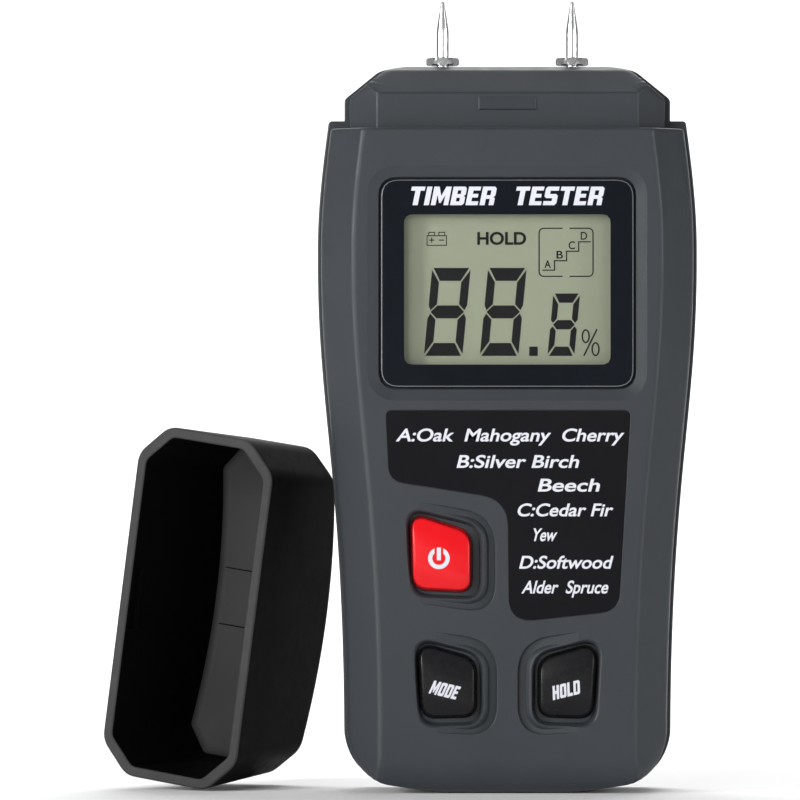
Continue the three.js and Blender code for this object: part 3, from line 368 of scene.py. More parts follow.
MASK_GREEN = Routed("green_mask", "board_green", (0.012, 0.11, 0.035), 0.32, 0.05, 0.1, 200, 3000, 0.004,
                    coat=0.3)
NICKEL = Finish("bright_nickel", "bright_metal", (0.72, 0.725, 0.74), 0.22, 0.04, 0.03, 300, 2600, 0.003,
                1.0, stretch=(1, 1, 9))
BRASS = Finish("turned_brass", "brass", (0.62, 0.42, 0.16), 0.28, 0.06, 0.05, 300, 2600, 0.006, 1.0,
               stretch=(1, 1, 9))
ZINC = Finish("zinc_steel", "steel", (0.50, 0.50, 0.51), 0.3, 0.08, 0.06, 400, 3200, 0.006, 1.0)
WRAP = Striped("cell_wrap", "cell_wrap", (0.05, 0.055, 0.06), 0.28, 0.04, 0.05, 150, 2600, 0.004, coat=0.4,
               second=(0.55, 0.30, 0.05), pitch=44.0, axis="Z", share=0.82)
CLEAR = Clear()
BY_SLOT = {f.slot: f for f in (SLATE, CAP_BLACK, LENS_BLACK, FILM_BLACK, LCD_GREEN, LCD_INK, WHITE_PRINT,
                               KEY_RED,
                               KEY_BLACK, IVORY, ZEBRA, EPOXY, MASK_GREEN, NICKEL, BRASS, ZINC, WRAP)}


# ------------------------------------------------------------------ outlines and lofts
def filleted(points: Sequence[Sequence[float]], radii: Sequence[float], steps: int = 7) -> Loop:
    """Round the inner corners of an open path.

    Args:
        points: Corners of the path.
        radii: One radius for each inner corner.
        steps: Points along each arc.

    Returns:
        The rounded path.
    """
    corners = [np.array(p, float) for p in points]
    path = [corners[0]]
    for before, corner, after, radius in zip(corners, corners[1:], corners[2:], radii):
        back = (before - corner) / np.linalg.norm(before - corner)
        ahead = (after - corner) / np.linalg.norm(after - corner)
        half = math.acos(float(np.clip(back @ ahead, -1, 1))) / 2
        middle = (back + ahead) / np.linalg.norm(back + ahead)
        centre = corner + middle * radius / math.sin(half)
        start = corner + back * radius / math.tan(half) - centre
        end = corner + ahead * radius / math.tan(half) - centre
        sweep = math.pi - 2 * half
        for step in range(steps + 1):
            t = step / steps
            path.append(centre + (math.sin((1 - t) * sweep) * start + math.sin(t * sweep) * end)
                        / math.sin(sweep))
    path.append(corners[-1])
    return np.array(path)


def bezier(*controls: Sequence[float], steps: int = 60) -> Loop:
    """Points on a Bezier curve of any order.

    Args:
        controls: Its control points.
        steps: Number of intervals.

    Returns:
        The points.
    """
    t = np.linspace(0, 1, steps + 1)[:, None]
    order = len(controls) - 1
    parts = (math.comb(order, i) * t**i * (1 - t) ** (order - i) * np.array(c, float)
             for i, c in enumerate(controls))
    return sum(parts)


def soft_min(first: np.ndarray, second: np.ndarray, blend: float) -> np.ndarray:
    """The lesser of two arrays, rounded where they meet.

    Args:
        first: One limit.
        second: The other limit.
        blend: Width over which they blend.

    Returns:
        The blended limit.
    """
    if blend < 1e-4:
        return np.minimum(first, second)
    share = np.clip(0.5 + 0.5 * (second - first) / blend, 0, 1)
    return second * (1 - share) + first * share - blend * share * (1 - share)


def rounded(corners: Sequence[Corner], steps: int = 9) -> Loop:
    """A closed outline through corners, each rounded off over its own setback.

    Args:
        corners: Points with their setbacks.
        steps: Points along each corner.

    Returns:
        The outline.
    """
    path: list[np.ndarray] = []
    for index, (x, z, setback) in enumerate(corners):
        corner = np.array((x, z))
        before = np.array(corners[index - 1][:2]) - corner
        after = np.array(corners[(index + 1) % len(corners)][:2]) - corner
        enter = corner + before / np.linalg.norm(before) * setback
        leave = corner + after / np.linalg.norm(after) * setback
        path.extend(bezier(enter, corner, leave, steps=steps))
    return np.array(path)


def rounded_box(half: float, bottom: float, top: float, setback: float, across: float = 0.0) -> Loop:
    """A rounded rectangle, centred on x = across."""
    low, high = across - half, across + half
    return rounded([(low, bottom, setback), (high, bottom, setback), (high, top, setback),
                    (low, top, setback)])


def evened(loop: Loop, count: int) -> Loop:
    """Space a closed outline's points evenly.

    Args:
        loop: The outline.
        count: Number of points wanted.

    Returns:
        The evenly spaced outline.
    """
    closed = np.vstack([loop, loop[:1]])
    along = np.concatenate([[0], np.cumsum(np.linalg.norm(np.diff(closed, axis=0), axis=1))])
    places = np.linspace(0, along[-1], count, endpoint=False)
    return np.column_stack([np.interp(places, along, closed[:, i]) for i in (0, 1)])


def area_of(loop: Loop) -> float:
    """Signed area of an outline."""
    x, z = loop[:, 0], loop[:, 1]
    return float(np.sum(x * np.roll(z, -1) - np.roll(x, -1) * z)) / 2


def offset(loop: Loop, amount: float) -> Loop:
    """Move a closed outline outwards.

    Args:
        loop: The outline.
        amount: How far; less than nothing moves it inwards.

    Returns:
        The moved outline.
    """
    ahead = np.roll(loop, -1, axis=0) - loop
    ahead /= np.maximum(np.linalg.norm(ahead, axis=1), 1e-9)[:, None]
    turn = math.copysign(1.0, area_of(loop))
    side = np.column_stack([ahead[:, 1], -ahead[:, 0]]) * turn
    mean = side + np.roll(side, 1, axis=0)
    size = np.maximum(np.linalg.norm(mean, axis=1), 1e-6)
    mean /= size[:, None]
    stretch = np.minimum(2.0 / size, 1.6)
    return loop + mean * (amount * stretch)[:, None]


def facing(loop: Loop, y: float) -> Loop:
    """Stand a flat outline in the plane of the display at depth y."""
    return np.column_stack([loop[:, 0], np.full(len(loop), y), loop[:, 1]])


def round_profile(path: Iterable[Sequence[float]], steps: int, x: float = 0.0, y: float = 0.0) -> list[Loop]:
    """Rings of a turned piece that stands on a z axis.

    Args:
        path: Points of [radius, z].
        steps: Points round each ring.
        x: Place of the axis.
        y: Place of the axis.

    Returns:
        One ring for each point.
    """
    turn = np.linspace(0, 2 * math.pi, steps, endpoint=False)
    return [np.column_stack([x + r * np.cos(turn), y + r * np.sin(turn), np.full(steps, z)]) for r, z in path]


# ------------------------------------------------------------------ meshes and pieces
def finished_object(name: str, mesh: bpy.types.Mesh) -> bpy.types.Object:
    """Put a mesh into the scene as an object at the origin."""
    made = bpy.data.objects.new(name, mesh)
    bpy.context.scene.collection.objects.link(made)
    return made


def from_bmesh(name: str, shape: bmesh.types.BMesh) -> bpy.types.Object:
    """Turn a bmesh with its faces made to point outwards into an object.

    Args:
        name: Name of the object.
        shape: The bmesh, which is freed.

    Returns:
        The object.
    """
    bmesh.ops.recalc_face_normals(shape, faces=shape.faces)
    mesh = bpy.data.meshes.new(name)
    shape.to_mesh(mesh)
    shape.free()
    return finished_object(name, mesh)


def add_loft(shape: bmesh.types.BMesh, rings: Sequence[Loop]) -> list[bmesh.types.BMFace]:
    """Skin a row of rings and close both ends.

    Args:
        shape: The bmesh that grows.
        rings: Rings of points in millimetres, all with the same count.

    Returns:
        The new faces; the last two are the ends.
    """
    rows = [[shape.verts.new(Vector(p) * MM) for p in ring] for ring in rings]
    faces = []
    for low, high in zip(rows, rows[1:]):
        count = len(low)
        for i in range(count):
            j = (i + 1) % count
            faces.append(shape.faces.new((low[i], low[j], high[j], high[i])))
    faces.append(shape.faces.new(list(reversed(rows[0]))))
    faces.append(shape.faces.new(rows[-1]))
    return faces


def loft(name: str, *bodies: Sequence[Loop]) -> bpy.types.Object:
    """An object of one or more closed lofts.

    Args:
        name: Name of the object.
        bodies: The rings of each loft.

    Returns:
        The object.
    """
    shape = bmesh.new()
    for rings in bodies:
        add_loft(shape, rings)
    return from_bmesh(name, shape)


def block(name: str, low: Sequence[float], high: Sequence[float], edge: float = 0.0) -> bpy.types.Object:
    """A box between two corners, with its edges rounded when edge is given.

    Args:
        name: Name of the object.
        low: Lowest corner.
        high: Highest corner.
        edge: Width of the rounding.

    Returns:
        The object.
    """
    shape = bmesh.new()
    size = Vector(high) - Vector(low)
    middle = (Vector(high) + Vector(low)) / 2
    bmesh.ops.create_cube(shape, size=1.0,
                          matrix=Matrix.Translation(middle * MM) @ Matrix.Diagonal((*(size * MM), 1)))
    if edge:
        bmesh.ops.bevel(shape, geom=shape.edges, offset=edge * MM, segments=3, profile=0.5, affect="EDGES")
    return from_bmesh(name, shape)


def cutter(loop: Loop, profile: Sequence[Sequence[float]]) -> bpy.types.Object:
    """A body whose outline follows loop, moved outwards by a different amount at each depth.

    Args:
        loop: Outline in x and z.
        profile: Points of [outward offset, y].

    Returns:
        The object.
    """
    return loft("cutter", [facing(offset(loop, out), y) for out, y in profile])


def evaluated(piece: bpy.types.Object) -> bpy.types.Mesh:
    """The mesh of a piece with its modifiers applied."""
    bpy.context.view_layer.update()
    graph = bpy.context.evaluated_depsgraph_get()
    return bpy.data.meshes.new_from_object(piece.evaluated_get(graph))


def settle(piece: bpy.types.Object) -> bpy.types.Object:
    """Apply all modifiers of a piece.

    Args:
        piece: The piece.

    Returns:
        The same piece with a plain mesh.
    """
    mesh = evaluated(piece)
    piece.modifiers.clear()
    piece.data = mesh
    return piece


def combine(piece: bpy.types.Object, tools: Sequence[bpy.types.Object],
            operation: str = "DIFFERENCE") -> bpy.types.Object:
    """Cut tools from a piece or join them to it.

    Args:
        piece: The piece that is changed.
        tools: Bodies that are used up.
        operation: Blender's boolean operation.

    Returns:
        The piece.
    """
    for tool in tools:
        step = piece.modifiers.new("form", "BOOLEAN")
        step.operation = operation
        step.solver = "EXACT"
        step.object = tool
    settle(piece)
    for tool in tools:
        bpy.data.objects.remove(tool)
    return piece


def dressed(
    piece: bpy.types.Object,
    finish: Finish | Clear,
    body: Body,
    replaces: Sequence[str] = (),
    smooth: float = 32.0,
    keep_materials: bool = False,
) -> bpy.types.Object:
    """Shade a finished piece, give it its finish and join it to the frame.

    Args:
        piece: The piece, with its place in its mesh.
        finish: Its main finish.
        body: The body that it rides on.
        replaces: CAD nodes that it stands for.
        smooth: Edges sharper than this, in degrees, stay crisp.
        keep_materials: True when the mesh already has its materials.

    Returns:
        The piece.
    """
    mesh = piece.data
    if not keep_materials:
        mesh.materials.clear()
        mesh.materials.append(finish.material())
    shape = bmesh.new()
    shape.from_mesh(mesh)
    bmesh.ops.remove_doubles(shape, verts=shape.verts, dist=1e-7)
    limit = math.radians(smooth)
    for edge in shape.edges:
        edge.smooth = len(edge.link_faces) == 2 and edge.calc_face_angle(0.0) < limit
    for face in shape.faces:
        face.smooth = True
    shape.to_mesh(mesh)
    shape.free()
    weights = piece.modifiers.new("even_shading", "WEIGHTED_NORMAL")
    weights.keep_sharp = True
    weights.weight = 80
    settle(piece)
    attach(piece, body.value)
    if replaces:
        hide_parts(*replaces)
    log.info("%-22s %6d faces on %s", piece.name, len(piece.data.polygons), body.value)
    return piece


def refined(node: str, finish: Finish, body: Body, edge: float) -> bpy.types.Object:
    """A copy of a CAD node with softened edges, which stands for it.

    Args:
        node: Name of the CAD node.
        finish: Its finish.
        body: The body that it rides on.
        edge: Width of the softening, in millimetres.

    Returns:
        The new piece.
    """
    shape = bmesh.new()
    shape.from_mesh(frame["nodes"][node].data)
    bmesh.ops.remove_doubles(shape, verts=shape.verts, dist=2e-6)
    bmesh.ops.dissolve_limit(shape, angle_limit=math.radians(0.5), verts=shape.verts, edges=shape.edges)
    piece = from_bmesh(f"{node}_fine", shape)
    soften = piece.modifiers.new("soft_edges", "BEVEL")
    soften.width = edge * MM
    soften.segments = 2
    soften.limit_method = "ANGLE"
    soften.angle_limit = math.radians(30)
    return dressed(settle(piece), finish, body, [node])


# ------------------------------------------------------------------ case
@dataclass
class CaseHalf:
    """One half of the case without its neck: a ring of points at each height above its face."""

    side: Side
    face: float
    inset: float = 0.0
    foot: float = 0.0
    top: float = 120.0
    part: float = -1.15
    flank: tuple[float, float] = (5.8, 6.5)
    ridge: tuple[float, float] = (2.2, 1.5)
    roll: tuple[float, float] = (4.6, 6.2)
    rim: float = 0.3
    case_half: float = 34.0
    waist_half: float = 29.25
    shoulder_half: float = 32.0
    shoulder: float = 120.0
    land_half: float = 9.0
    centre: float = 15.0

    def __post_init__(self) -> None:
        """Work out the side curve and the rounded flank."""
        waist, case, shoulder = (v - self.inset
                                 for v in (self.waist_half, self.case_half, self.shoulder_half))
        bend, widest = 10.5, 0.79 * self.shoulder
        rise, fall = widest - bend, self.shoulder - widest
        side = np.vstack([
            bezier((waist, bend), (waist + 0.25, bend + 0.545 * rise), (case, widest - 0.32 * rise),
                   (case, widest)),
            bezier((case, widest), (case, widest + 0.2 * fall), (shoulder + 2.1, self.shoulder - 0.6 * fall),
                   (shoulder, self.shoulder)),
        ])
        land, start = self.land_half, (self.waist_half - 7.75, 1.55 + self.foot)
        self.foot_line = np.vstack([
            [(0, self.foot)],
            bezier((land, self.foot), (land + 3, self.foot), start),
            bezier(start, (waist - 0.95, 3.2 + self.foot), (waist, bend + self.foot)),
            side[2:30],
        ])
        self.side_line = side
        self.depth = abs(self.part - self.face)
        wide, deep = self.flank
        self.flank_line = filleted([(0, self.depth + 1), (0, deep), (wide, 0), (wide + 8, 0)], self.ridge, 9)

    def flank_at(self, height: float) -> float:
        """How far the flank has drawn the side in at a height above the face."""
        line = self.flank_line[self.flank_line[:, 1] > 1e-6]
        end = self.flank_line[len(line)]
        line = np.vstack([line, end])
        return float(np.interp(height, line[::-1, 1], line[::-1, 0]))

    def roll_at(self, height: float) -> float:
        """How far the roll under the foot has raised the bottom at a height above the face."""
        deep, high = self.roll
        return high * (1 - math.sqrt(height / deep)) ** 2 if height < deep else 0.0

    def heights(self) -> list[float]:
        """Heights above the face at which rings are made."""
        near = [q * q for q in np.linspace(0, 1.0, 11)]
        middle = [1.3, 1.8, 2.4, 3.1, 3.9, 4.6, 5.1, 5.5, 5.9, 6.3, 6.8, 7.4, 8.2]
        edge = [self.depth - self.rim * q for q in (1, 0.7, 0.4, 0.2, 0.06, 0)]
        return near + [h for h in middle if h < edge[0] - 0.1] + edge

    def ring(self, height: float) -> Loop:
        """The outline at a height above the face.

        Args:
            height: Millimetres from the face into the body.

        Returns:
            The closed ring.
        """
        below = self.rim - (self.depth - height)
        lip = self.rim - math.sqrt(max(self.rim**2 - below**2, 0)) if below > 0 else 0.0
        drawn = self.flank_at(height) + lip
        raised = self.roll_at(height)
        edge = 0.5
        top = self.top - lip - (edge - math.sqrt(edge**2 - (edge - height) ** 2) if height < edge else 0.0)
        angles = np.radians(np.linspace(-90, 0, 40))
        cos, sin = np.maximum(np.cos(angles), 1e-6), np.sin(angles)
        outline = self.polar(self.foot_line, angles)
        wall = np.vstack([[(self.waist_half - self.inset - drawn, -30)], self.side_line[:30] - (drawn, 0)])
        reach = soft_min(self.polar(wall, angles), outline, min(1.5, 0.8 * drawn))
        floor = (self.centre - self.foot - raised) / np.maximum(-sin, 1e-6)
        reach = soft_min(reach, floor, min(3.0, 0.6 * raised))
        points = [np.column_stack([reach * cos, self.centre + reach * sin])]
        points[0][0, 0] = 0.0
        corner = 0.7
        heights = np.linspace(self.centre, top - corner, 46)[1:]
        points.append(np.column_stack([self.width_at(heights) - drawn, heights]))
        last = points[-1][-1, 0]
        turn = np.radians(np.linspace(15, 90, 6))
        points.append(np.column_stack([last - corner + corner * np.cos(turn),
                                       top - corner + corner * np.sin(turn)]))
        points.append(np.column_stack([(last - corner) * np.linspace(0.8, 0, 5), np.full(5, top)]))
        right = np.vstack(points)
        left = right[1:-1][::-1] * (-1, 1)
        return facing(np.vstack([right, left]), self.face + self.side.value * height)

    def width_at(self, heights: np.ndarray) -> np.ndarray:
        """Half-width of the case at some heights above the foot."""
        return np.interp(heights, self.side_line[:, 1], self.side_line[:, 0])

    def polar(self, line: Loop, angles: np.ndarray) -> np.ndarray:
        """Distance from the centre to a line, at each angle.

        Args:
            line: Points that run round the centre.
            angles: Angles in radians.

        Returns:
            The distances.
        """
        x, z = line[:, 0], line[:, 1] - self.centre
        turn = np.arctan2(z, x)
        order = np.argsort(turn)
        fine = np.linspace(0, 1, 12)[:, None]
        a, b = line[order][:-1], line[order][1:]
        dense = a[None] * (1 - fine[:, :, None]) + b[None] * fine[:, :, None]
        dense = dense.transpose(1, 0, 2).reshape(-1, 2)
        turn = np.arctan2(dense[:, 1] - self.centre, dense[:, 0])
        reach = np.hypot(dense[:, 0], dense[:, 1] - self.centre)
        order = np.argsort(turn, kind="stable")
        return np.interp(angles, turn[order], reach[order])

    def solid(self, name: str, beyond: float = 0.0) -> bpy.types.Object:
        """The closed body of this half.

        Args:
            name: Name of the object.
            beyond: How far it reaches past the parting plane.

        Returns:
            The object.
        """
        rings = [self.ring(h) for h in self.heights()]
        if beyond:
            last = rings[-1].copy()
            last[:, 1] += self.side.value * beyond
            rings.append(last)
        return loft(name, rings)


@dataclass
class NeckHalf:
    """One half of the neck that carries the pins: faceted like a cut stone, with softened edges."""

    side: Side
    face: float
    half: float = 28.1
    top: float = 129.6
    part: float = -1.15
    corner: float = 4.9
    bevel: float = 4.4
    slant: float = 6.2
    root: float = 112.0
    centre: float = 118.0
    rim: float = 0.3

    def __post_init__(self) -> None:
        """Work out how the corner cut and the top bevel run."""
        self.depth = abs(self.part - self.face)
        far = self.depth + 1
        self.cut_line = filleted([(0, far), (0, self.corner), (self.corner, 0), (self.corner + 6, 0)],
                                 (0.6, 0.7), 6)
        self.top_line = filleted(
            [(0, far), (0, self.bevel + 1.6), (0.7, self.bevel), (4.9, 0), (9, 0)], (1.0, 0.6, 0.6), 6
        )

    @staticmethod
    def at(line: Loop, height: float) -> float:
        """Read a rounded profile at a height above the face."""
        above = line[line[:, 1] > 1e-6]
        rows = np.vstack([above, line[len(above)]])
        return float(np.interp(height, rows[::-1, 1], rows[::-1, 0]))

    def ring(self, height: float) -> Loop:
        """The outline at a height above the face.

        Args:
            height: Millimetres from the face into the body.

        Returns:
            The closed ring.
        """
        below = self.rim - (self.depth - height)
        lip = self.rim - math.sqrt(max(self.rim**2 - below**2, 0)) if below > 0 else 0.0
        wide = self.half - self.at(self.cut_line, height) - lip
        top = self.top - self.at(self.top_line, height) - lip - self.centre
        angles = np.radians(np.concatenate([np.linspace(0, 9, 4), np.linspace(10, 36, 34),
                                            np.linspace(40, 90, 8)]))
        cos, sin = np.maximum(np.cos(angles), 1e-6), np.sin(angles)
        edge = self.half - self.slant - lip
        reach = wide / cos
        corners = [(self.half - 0.4 - lip, self.top - 5.4), (edge, self.top - 0.7), (edge - 2.9, self.top)]
        for (x0, z0), (x1, z1) in zip(corners, corners[1:]):
            normal = np.array((z1 - z0, x0 - x1)) / math.hypot(x1 - x0, z1 - z0)
            limit = (normal @ (x0, z0 - self.centre)) / np.maximum(normal[0] * cos + normal[1] * sin, 1e-6)
            reach = soft_min(reach, limit, 0.5)
        reach = soft_min(reach, top / np.maximum(sin, 1e-6), 0.5)
        upper = np.column_stack([reach * cos, self.centre + reach * sin])
        upper[-1, 0] = 0.0
        right = np.vstack([[(0, self.root), (wide, self.root)], upper])
        left = right[1:-1][::-1] * (-1, 1)
        return facing(np.vstack([right, left]), self.face + self.side.value * height)

    def solid(self, name: str, beyond: float = 0.0) -> bpy.types.Object:
        """The closed body of this half.

        Args:
            name: Name of the object.
            beyond: How far it reaches past the parting plane.

        Returns:
            The object.
        """
        near = [q * q for q in np.linspace(0, 1.0, 9)]
        middle = [1.4, 2.1, 2.8, 3.3, 3.7, 4.0, 4.3, 4.5, 4.7, 4.9, 5.1, 5.4, 5.8, 6.1, 6.5, 7.2, 8.5, 11.0]
        edge = [self.depth - self.rim * q for q in (1, 0.7, 0.4, 0.2, 0.06, 0)]
        rings = [self.ring(h) for h in near + [m for m in middle if m < edge[0] - 0.1] + edge]
        if beyond:
            last = rings[-1].copy()
            last[:, 1] += self.side.value * beyond
            rings.append(last)
        return loft(name, rings)


@dataclass(frozen=True)
class KeyPlan:
    """Outlines of one key, its well and the crescent beside it, as [x, z, setback]."""

    name: str
    body: Body
    finish: Finish
    key: tuple[Corner, ...]
    well: tuple[Corner, ...]
    crescent: tuple[Corner, ...]
    facet: tuple[float, float] = (2.4, -2.9)

    @property
    def tilt(self) -> float:
        """Slope of the facet edges: one way left of the middle and the other way right of it."""
        return -0.235 if self.centre[0] < 0 else 0.235

    @property
    def centre(self) -> np.ndarray:
        """Middle of the key's corners."""
        return np.mean([c[:2] for c in self.key], axis=0)


def mirrored(corners: Sequence[Corner]) -> tuple[Corner, ...]:
    """The same corners on the other side of the middle."""
    return tuple((-x, z, s) for x, z, s in reversed(corners))


MODE_KEY = ((-15.65, 26.6, 3.0), (-5.85, 23.8, 2.4), (-5.85, 14.0, 2.2), (-14.9, 13.7, 2.4))
MODE_WELL = ((-16.85, 28.2, 4.4), (-4.2, 25.1, 3.6), (-4.2, 12.1, 3.4), (-15.95, 11.8, 3.6))
MODE_CRESCENT = ((-14.8, 29.0, 0.5), (-1.85, 27.2, 6.0), (-1.85, 10.4, 5.5), (-14.5, 11.1, 0.5))
KEYS = (
    KeyPlan(
        "power", Body.POWER, KEY_RED,
        ((-17.0, 49.7, 3.0), (-6.65, 46.3, 2.4), (-6.65, 36.1, 2.2), (-16.65, 36.6, 2.4)),
        ((-18.4, 51.3, 4.4), (-4.35, 47.9, 3.6), (-4.35, 34.3, 3.4), (-17.35, 34.9, 3.6)),
        ((-17.7, 52.2, 0.5), (-2.15, 49.6, 6.0), (-2.15, 32.0, 5.5), (-16.75, 34.2, 0.5)),
    ),
    KeyPlan("mode", Body.MODE, KEY_BLACK, MODE_KEY, MODE_WELL, MODE_CRESCENT),
    KeyPlan("hold", Body.HOLD, KEY_BLACK, mirrored(MODE_KEY), mirrored(MODE_WELL), mirrored(MODE_CRESCENT)),
)
STICKER = ((-21.5, 68.1, 1.2), (21.8, 68.1, 1.2), (19.7, 32.6, 3.2), (0.4, 30.5, 4.6), (0.2, 52.4, 5.0),
           (-20.9, 55.7, 2.6))


@dataclass
class CaseShells:
    """Front and back shells of the case."""

    front: float = -14.0
    back: float = 14.0
    wall: float = 2.0
    front_wall: float = 2.4
    lens_half: float = 22.55
    lens_low: float = 72.2
    lens_high: float = 109.3
    lens_corner: float = 3.2
    lens_bevel: float = 1.7
    window_half: float = 19.6
    window_low: float = 75.2
    window_high: float = 104.2
    well_depth: float = 2.2
    crescent_depth: float = 1.15
    pin_x: float = 11.6
    pin_bore: float = 1.45
    tray_half: float = 17.0
    tray_low: float = 20.0
    tray_high: float = 71.6
    door_lap: float = 1.8
    door_inner: float = 12.3
    screws: tuple[Sequence[float], ...] = ((-24, 113), (24, 113), (-20.5, 9.6), (20.5, 9.6))

    def build(self) -> None:
        """Make both shells and join them to the meter."""
        dressed(self.front_shell(), SLATE, Body.METER, ["front_shell"], 26)
        dressed(self.back_shell(), SLATE, Body.METER, ["back_shell"], 26)

    def entry(self, depth: float, edge: float = 0.3, undercut: float = 0.0) -> list[tuple[float, float]]:
        """Profile of a recess in the front face, with a rounded entry.

        Args:
            depth: How deep it goes.
            edge: Radius of the rounding at the face.
            undercut: How much narrower it gets at its floor.

        Returns:
            Points of [outward offset, y], deepest first.
        """
        face = self.front
        turn = np.radians(np.linspace(0, 90, 6))
        mouth = [(edge - edge * math.cos(t), face + edge - edge * math.sin(t)) for t in turn]
        return [(-undercut, face + depth), *mouth, (edge, face - 3)]

    def key_cutters(self, plan: KeyPlan) -> list[bpy.types.Object]:
        """The crescent, the funnel of the well and the key's slot.

        Args:
            plan: The key.

        Returns:
            Cutters, in the order in which they are used.
        """
        face = self.front
        well = rounded(plan.well)
        crescent = cutter(rounded(plan.crescent, 14), self.entry(2.3, 0.22))
        across = [c[0] for c in plan.crescent]
        left = plan.centre[0] < 0
        shallow, deep = (min(across), max(across)) if left else (max(across), min(across))
        slope = [(shallow + (1.6 if left else -1.6), face - 0.05), (deep, face + self.crescent_depth)]
        far = deep + (3 if left else -3)
        wedge = np.array([*slope, (far, face + self.crescent_depth), (far, face - 5),
                          (slope[0][0], face - 5)])
        rings = [np.column_stack([wedge, np.full(5, z)]) for z in (0.0, 60.0)]
        combine(crescent, [loft("wedge", rings)], "INTERSECT")
        lip = cutter(well, [(1.45, face + 3), (1.15, face + self.crescent_depth), (0.28, face + 0.3),
                            (0.12, face + 0.22), (-0.2, face + 0.2), (-0.2, face - 6)])
        combine(crescent, [lip])
        funnel = [(-0.72, face + self.well_depth), (-0.66, face + 2.0), (-0.56, face + 1.5),
                  (-0.4, face + 0.85)]
        funnel += [(-0.25, face + 0.45), (-0.12, face + 0.22), (0.02, face + 0.08), (0.2, face + 0.01),
                   (0.3, face - 3)]
        slot = cutter(offset(rounded(plan.key), 0.35),
                      [(0, face + 6), (0, face + 2.5), (0.15, face + 2.2), (0.15, face)])
        return [crescent, cutter(well, funnel), slot]

    def front_shell(self) -> bpy.types.Object:
        """The front shell with its recesses.

        Returns:
            The shell.
        """
        step = 0.75
        shell = CaseHalf(Side.FRONT, self.front, step, 0.0, 118.4).solid("front_shell_body")
        neck_face = -10.3
        tools = [NeckHalf(Side.FRONT, neck_face).solid("neck"), self.catch(neck_face)]
        combine(shell, tools, "UNION")
        inner = CaseHalf(Side.FRONT, self.front + self.front_wall, step + self.wall, self.wall, 116.4)
        hollow_neck = NeckHalf(Side.FRONT, neck_face + self.wall, 26.1, 127.6, root=110.0)
        holes = [inner.solid("hollow", 1.0), hollow_neck.solid("neck_hollow", 1.0)]
        lens = rounded_box(self.lens_half + 0.25, self.lens_low - 0.25, self.lens_high + 0.25,
                           self.lens_corner)
        face = self.front
        bevel = [(0, face + 1.75), (0.0, face + 0.62), (0.12, face + 0.5), (self.lens_bevel, face + 0.12)]
        bevel += [(self.lens_bevel + 0.35, face + 0.02), (self.lens_bevel + 0.45, face - 2)]
        holes.append(cutter(evened(lens, 160), bevel))
        window = rounded_box(self.window_half, self.window_low, self.window_high, 1.8)
        holes.append(cutter(window, [(0, face + 5), (0, face + 0.2)]))
        holes.append(cutter(offset(rounded(STICKER), 0.12), self.entry(0.3, 0.1)))
        for x in (-self.pin_x, self.pin_x):
            rings = [(self.pin_bore, 120), (self.pin_bore, 129.3), (self.pin_bore + 0.3, 129.62), (2.2, 133)]
            holes.append(loft("bore", round_profile(rings, 32, x, 0.0)))
        combine(shell, holes)
        for plan in KEYS:
            combine(shell, self.key_cutters(plan))
        return shell

    def catch(self, face: float) -> bpy.types.Object:
        """The snap catch on the neck.

        Args:
            face: y of the neck's face.

        Returns:
            The catch, to be joined to the neck.
        """
        rings = []
        for inward, out in ((0.0, -0.8), (0.0, 0.22), (0.18, 0.4)):
            low, high, half = 121.7 + inward, 124.0 - inward * 0.5, 5.15 - inward
            rings.append(np.array([(-half, face - out, low), (half, face - out, low),
                                   (half, face - out * (0.3 if out > 0 else 1), high),
                                   (-half, face - out * (0.3 if out > 0 else 1), high)]))
        return loft("catch", rings)

    def back_shell(self) -> bpy.types.Object:
        """The back shell with its neck, battery tray and screw wells.

        Returns:
            The shell.
        """
        part = -0.85
        outer = CaseHalf(Side.BACK, self.back, part=part, flank=(4.0, 4.5), ridge=(2.0, 1.2), roll=(5.5, 7.0))
        shell = outer.solid("back_shell_body")
        neck = NeckHalf(Side.BACK, 11.4, 29.2, part=part)
        combine(shell, [neck.solid("neck")], "UNION")
        inner = CaseHalf(Side.BACK, self.back - self.wall, self.wall, self.wall, 118.0, part, (4.0, 4.5),
                         (2.0, 1.2),
                         (5.5, 7.0))
        inner_neck = NeckHalf(Side.BACK, 8.3, 26.1, 127.6, part, root=110.0)
        combine(shell, [inner.solid("hollow", 1.0), inner_neck.solid("neck_hollow", 1.0)])
        rim = self.door_lap + 1.2
        low, high = self.tray_low - rim, self.tray_high + rim
        tray = block("tray", (-self.tray_half - rim, 0.3, low), (self.tray_half + rim, self.back - 1, high),
                     0.5)
        posts = [loft("post", self.bar(x, z, 3.9, -0.9, self.back - 1)) for x, z in self.screws]
        combine(shell, [tray, *posts], "UNION")
        half, lap = self.tray_half, self.door_lap + 0.3
        door = rounded_box(half + lap, self.tray_low - lap, self.tray_high + lap, 1.2)
        cuts = [cutter(evened(rounded_box(half, self.tray_low, self.tray_high, 0.8), 96),
                       [(0, 5.2), (0, self.back + 2)])]
        cuts.append(cutter(evened(door, 120),
                           [(0, self.door_inner - 0.3), (0, self.back - 0.3), (0.1, self.back - 0.1),
                                               (0.3, self.back), (0.3, self.back + 3)]))
        for index in range(3):
            x = (index - 1) * 11.2
            path = [(5.5, self.tray_low), (5.5, self.tray_high)]
            cuts.append(loft("cradle", round_profile(path, 64, x, 6.65)))
        for x, z in self.screws:
            cuts.append(loft("screw_well", self.bar(x, z, 2.8, self.back / 2, self.back - 0.4, 0.35)))
            cuts.append(loft("screw_bore", self.bar(x, z, 1.6, -5, self.back)))
        for x in (-self.pin_x, self.pin_x):
            rings = [(self.pin_bore, 120), (self.pin_bore, 129.3), (self.pin_bore + 0.3, 129.62), (2.2, 133)]
            cuts.append(loft("bore", round_profile(rings, 32, x, 0.0)))
        notch = self.tray_high + self.door_lap
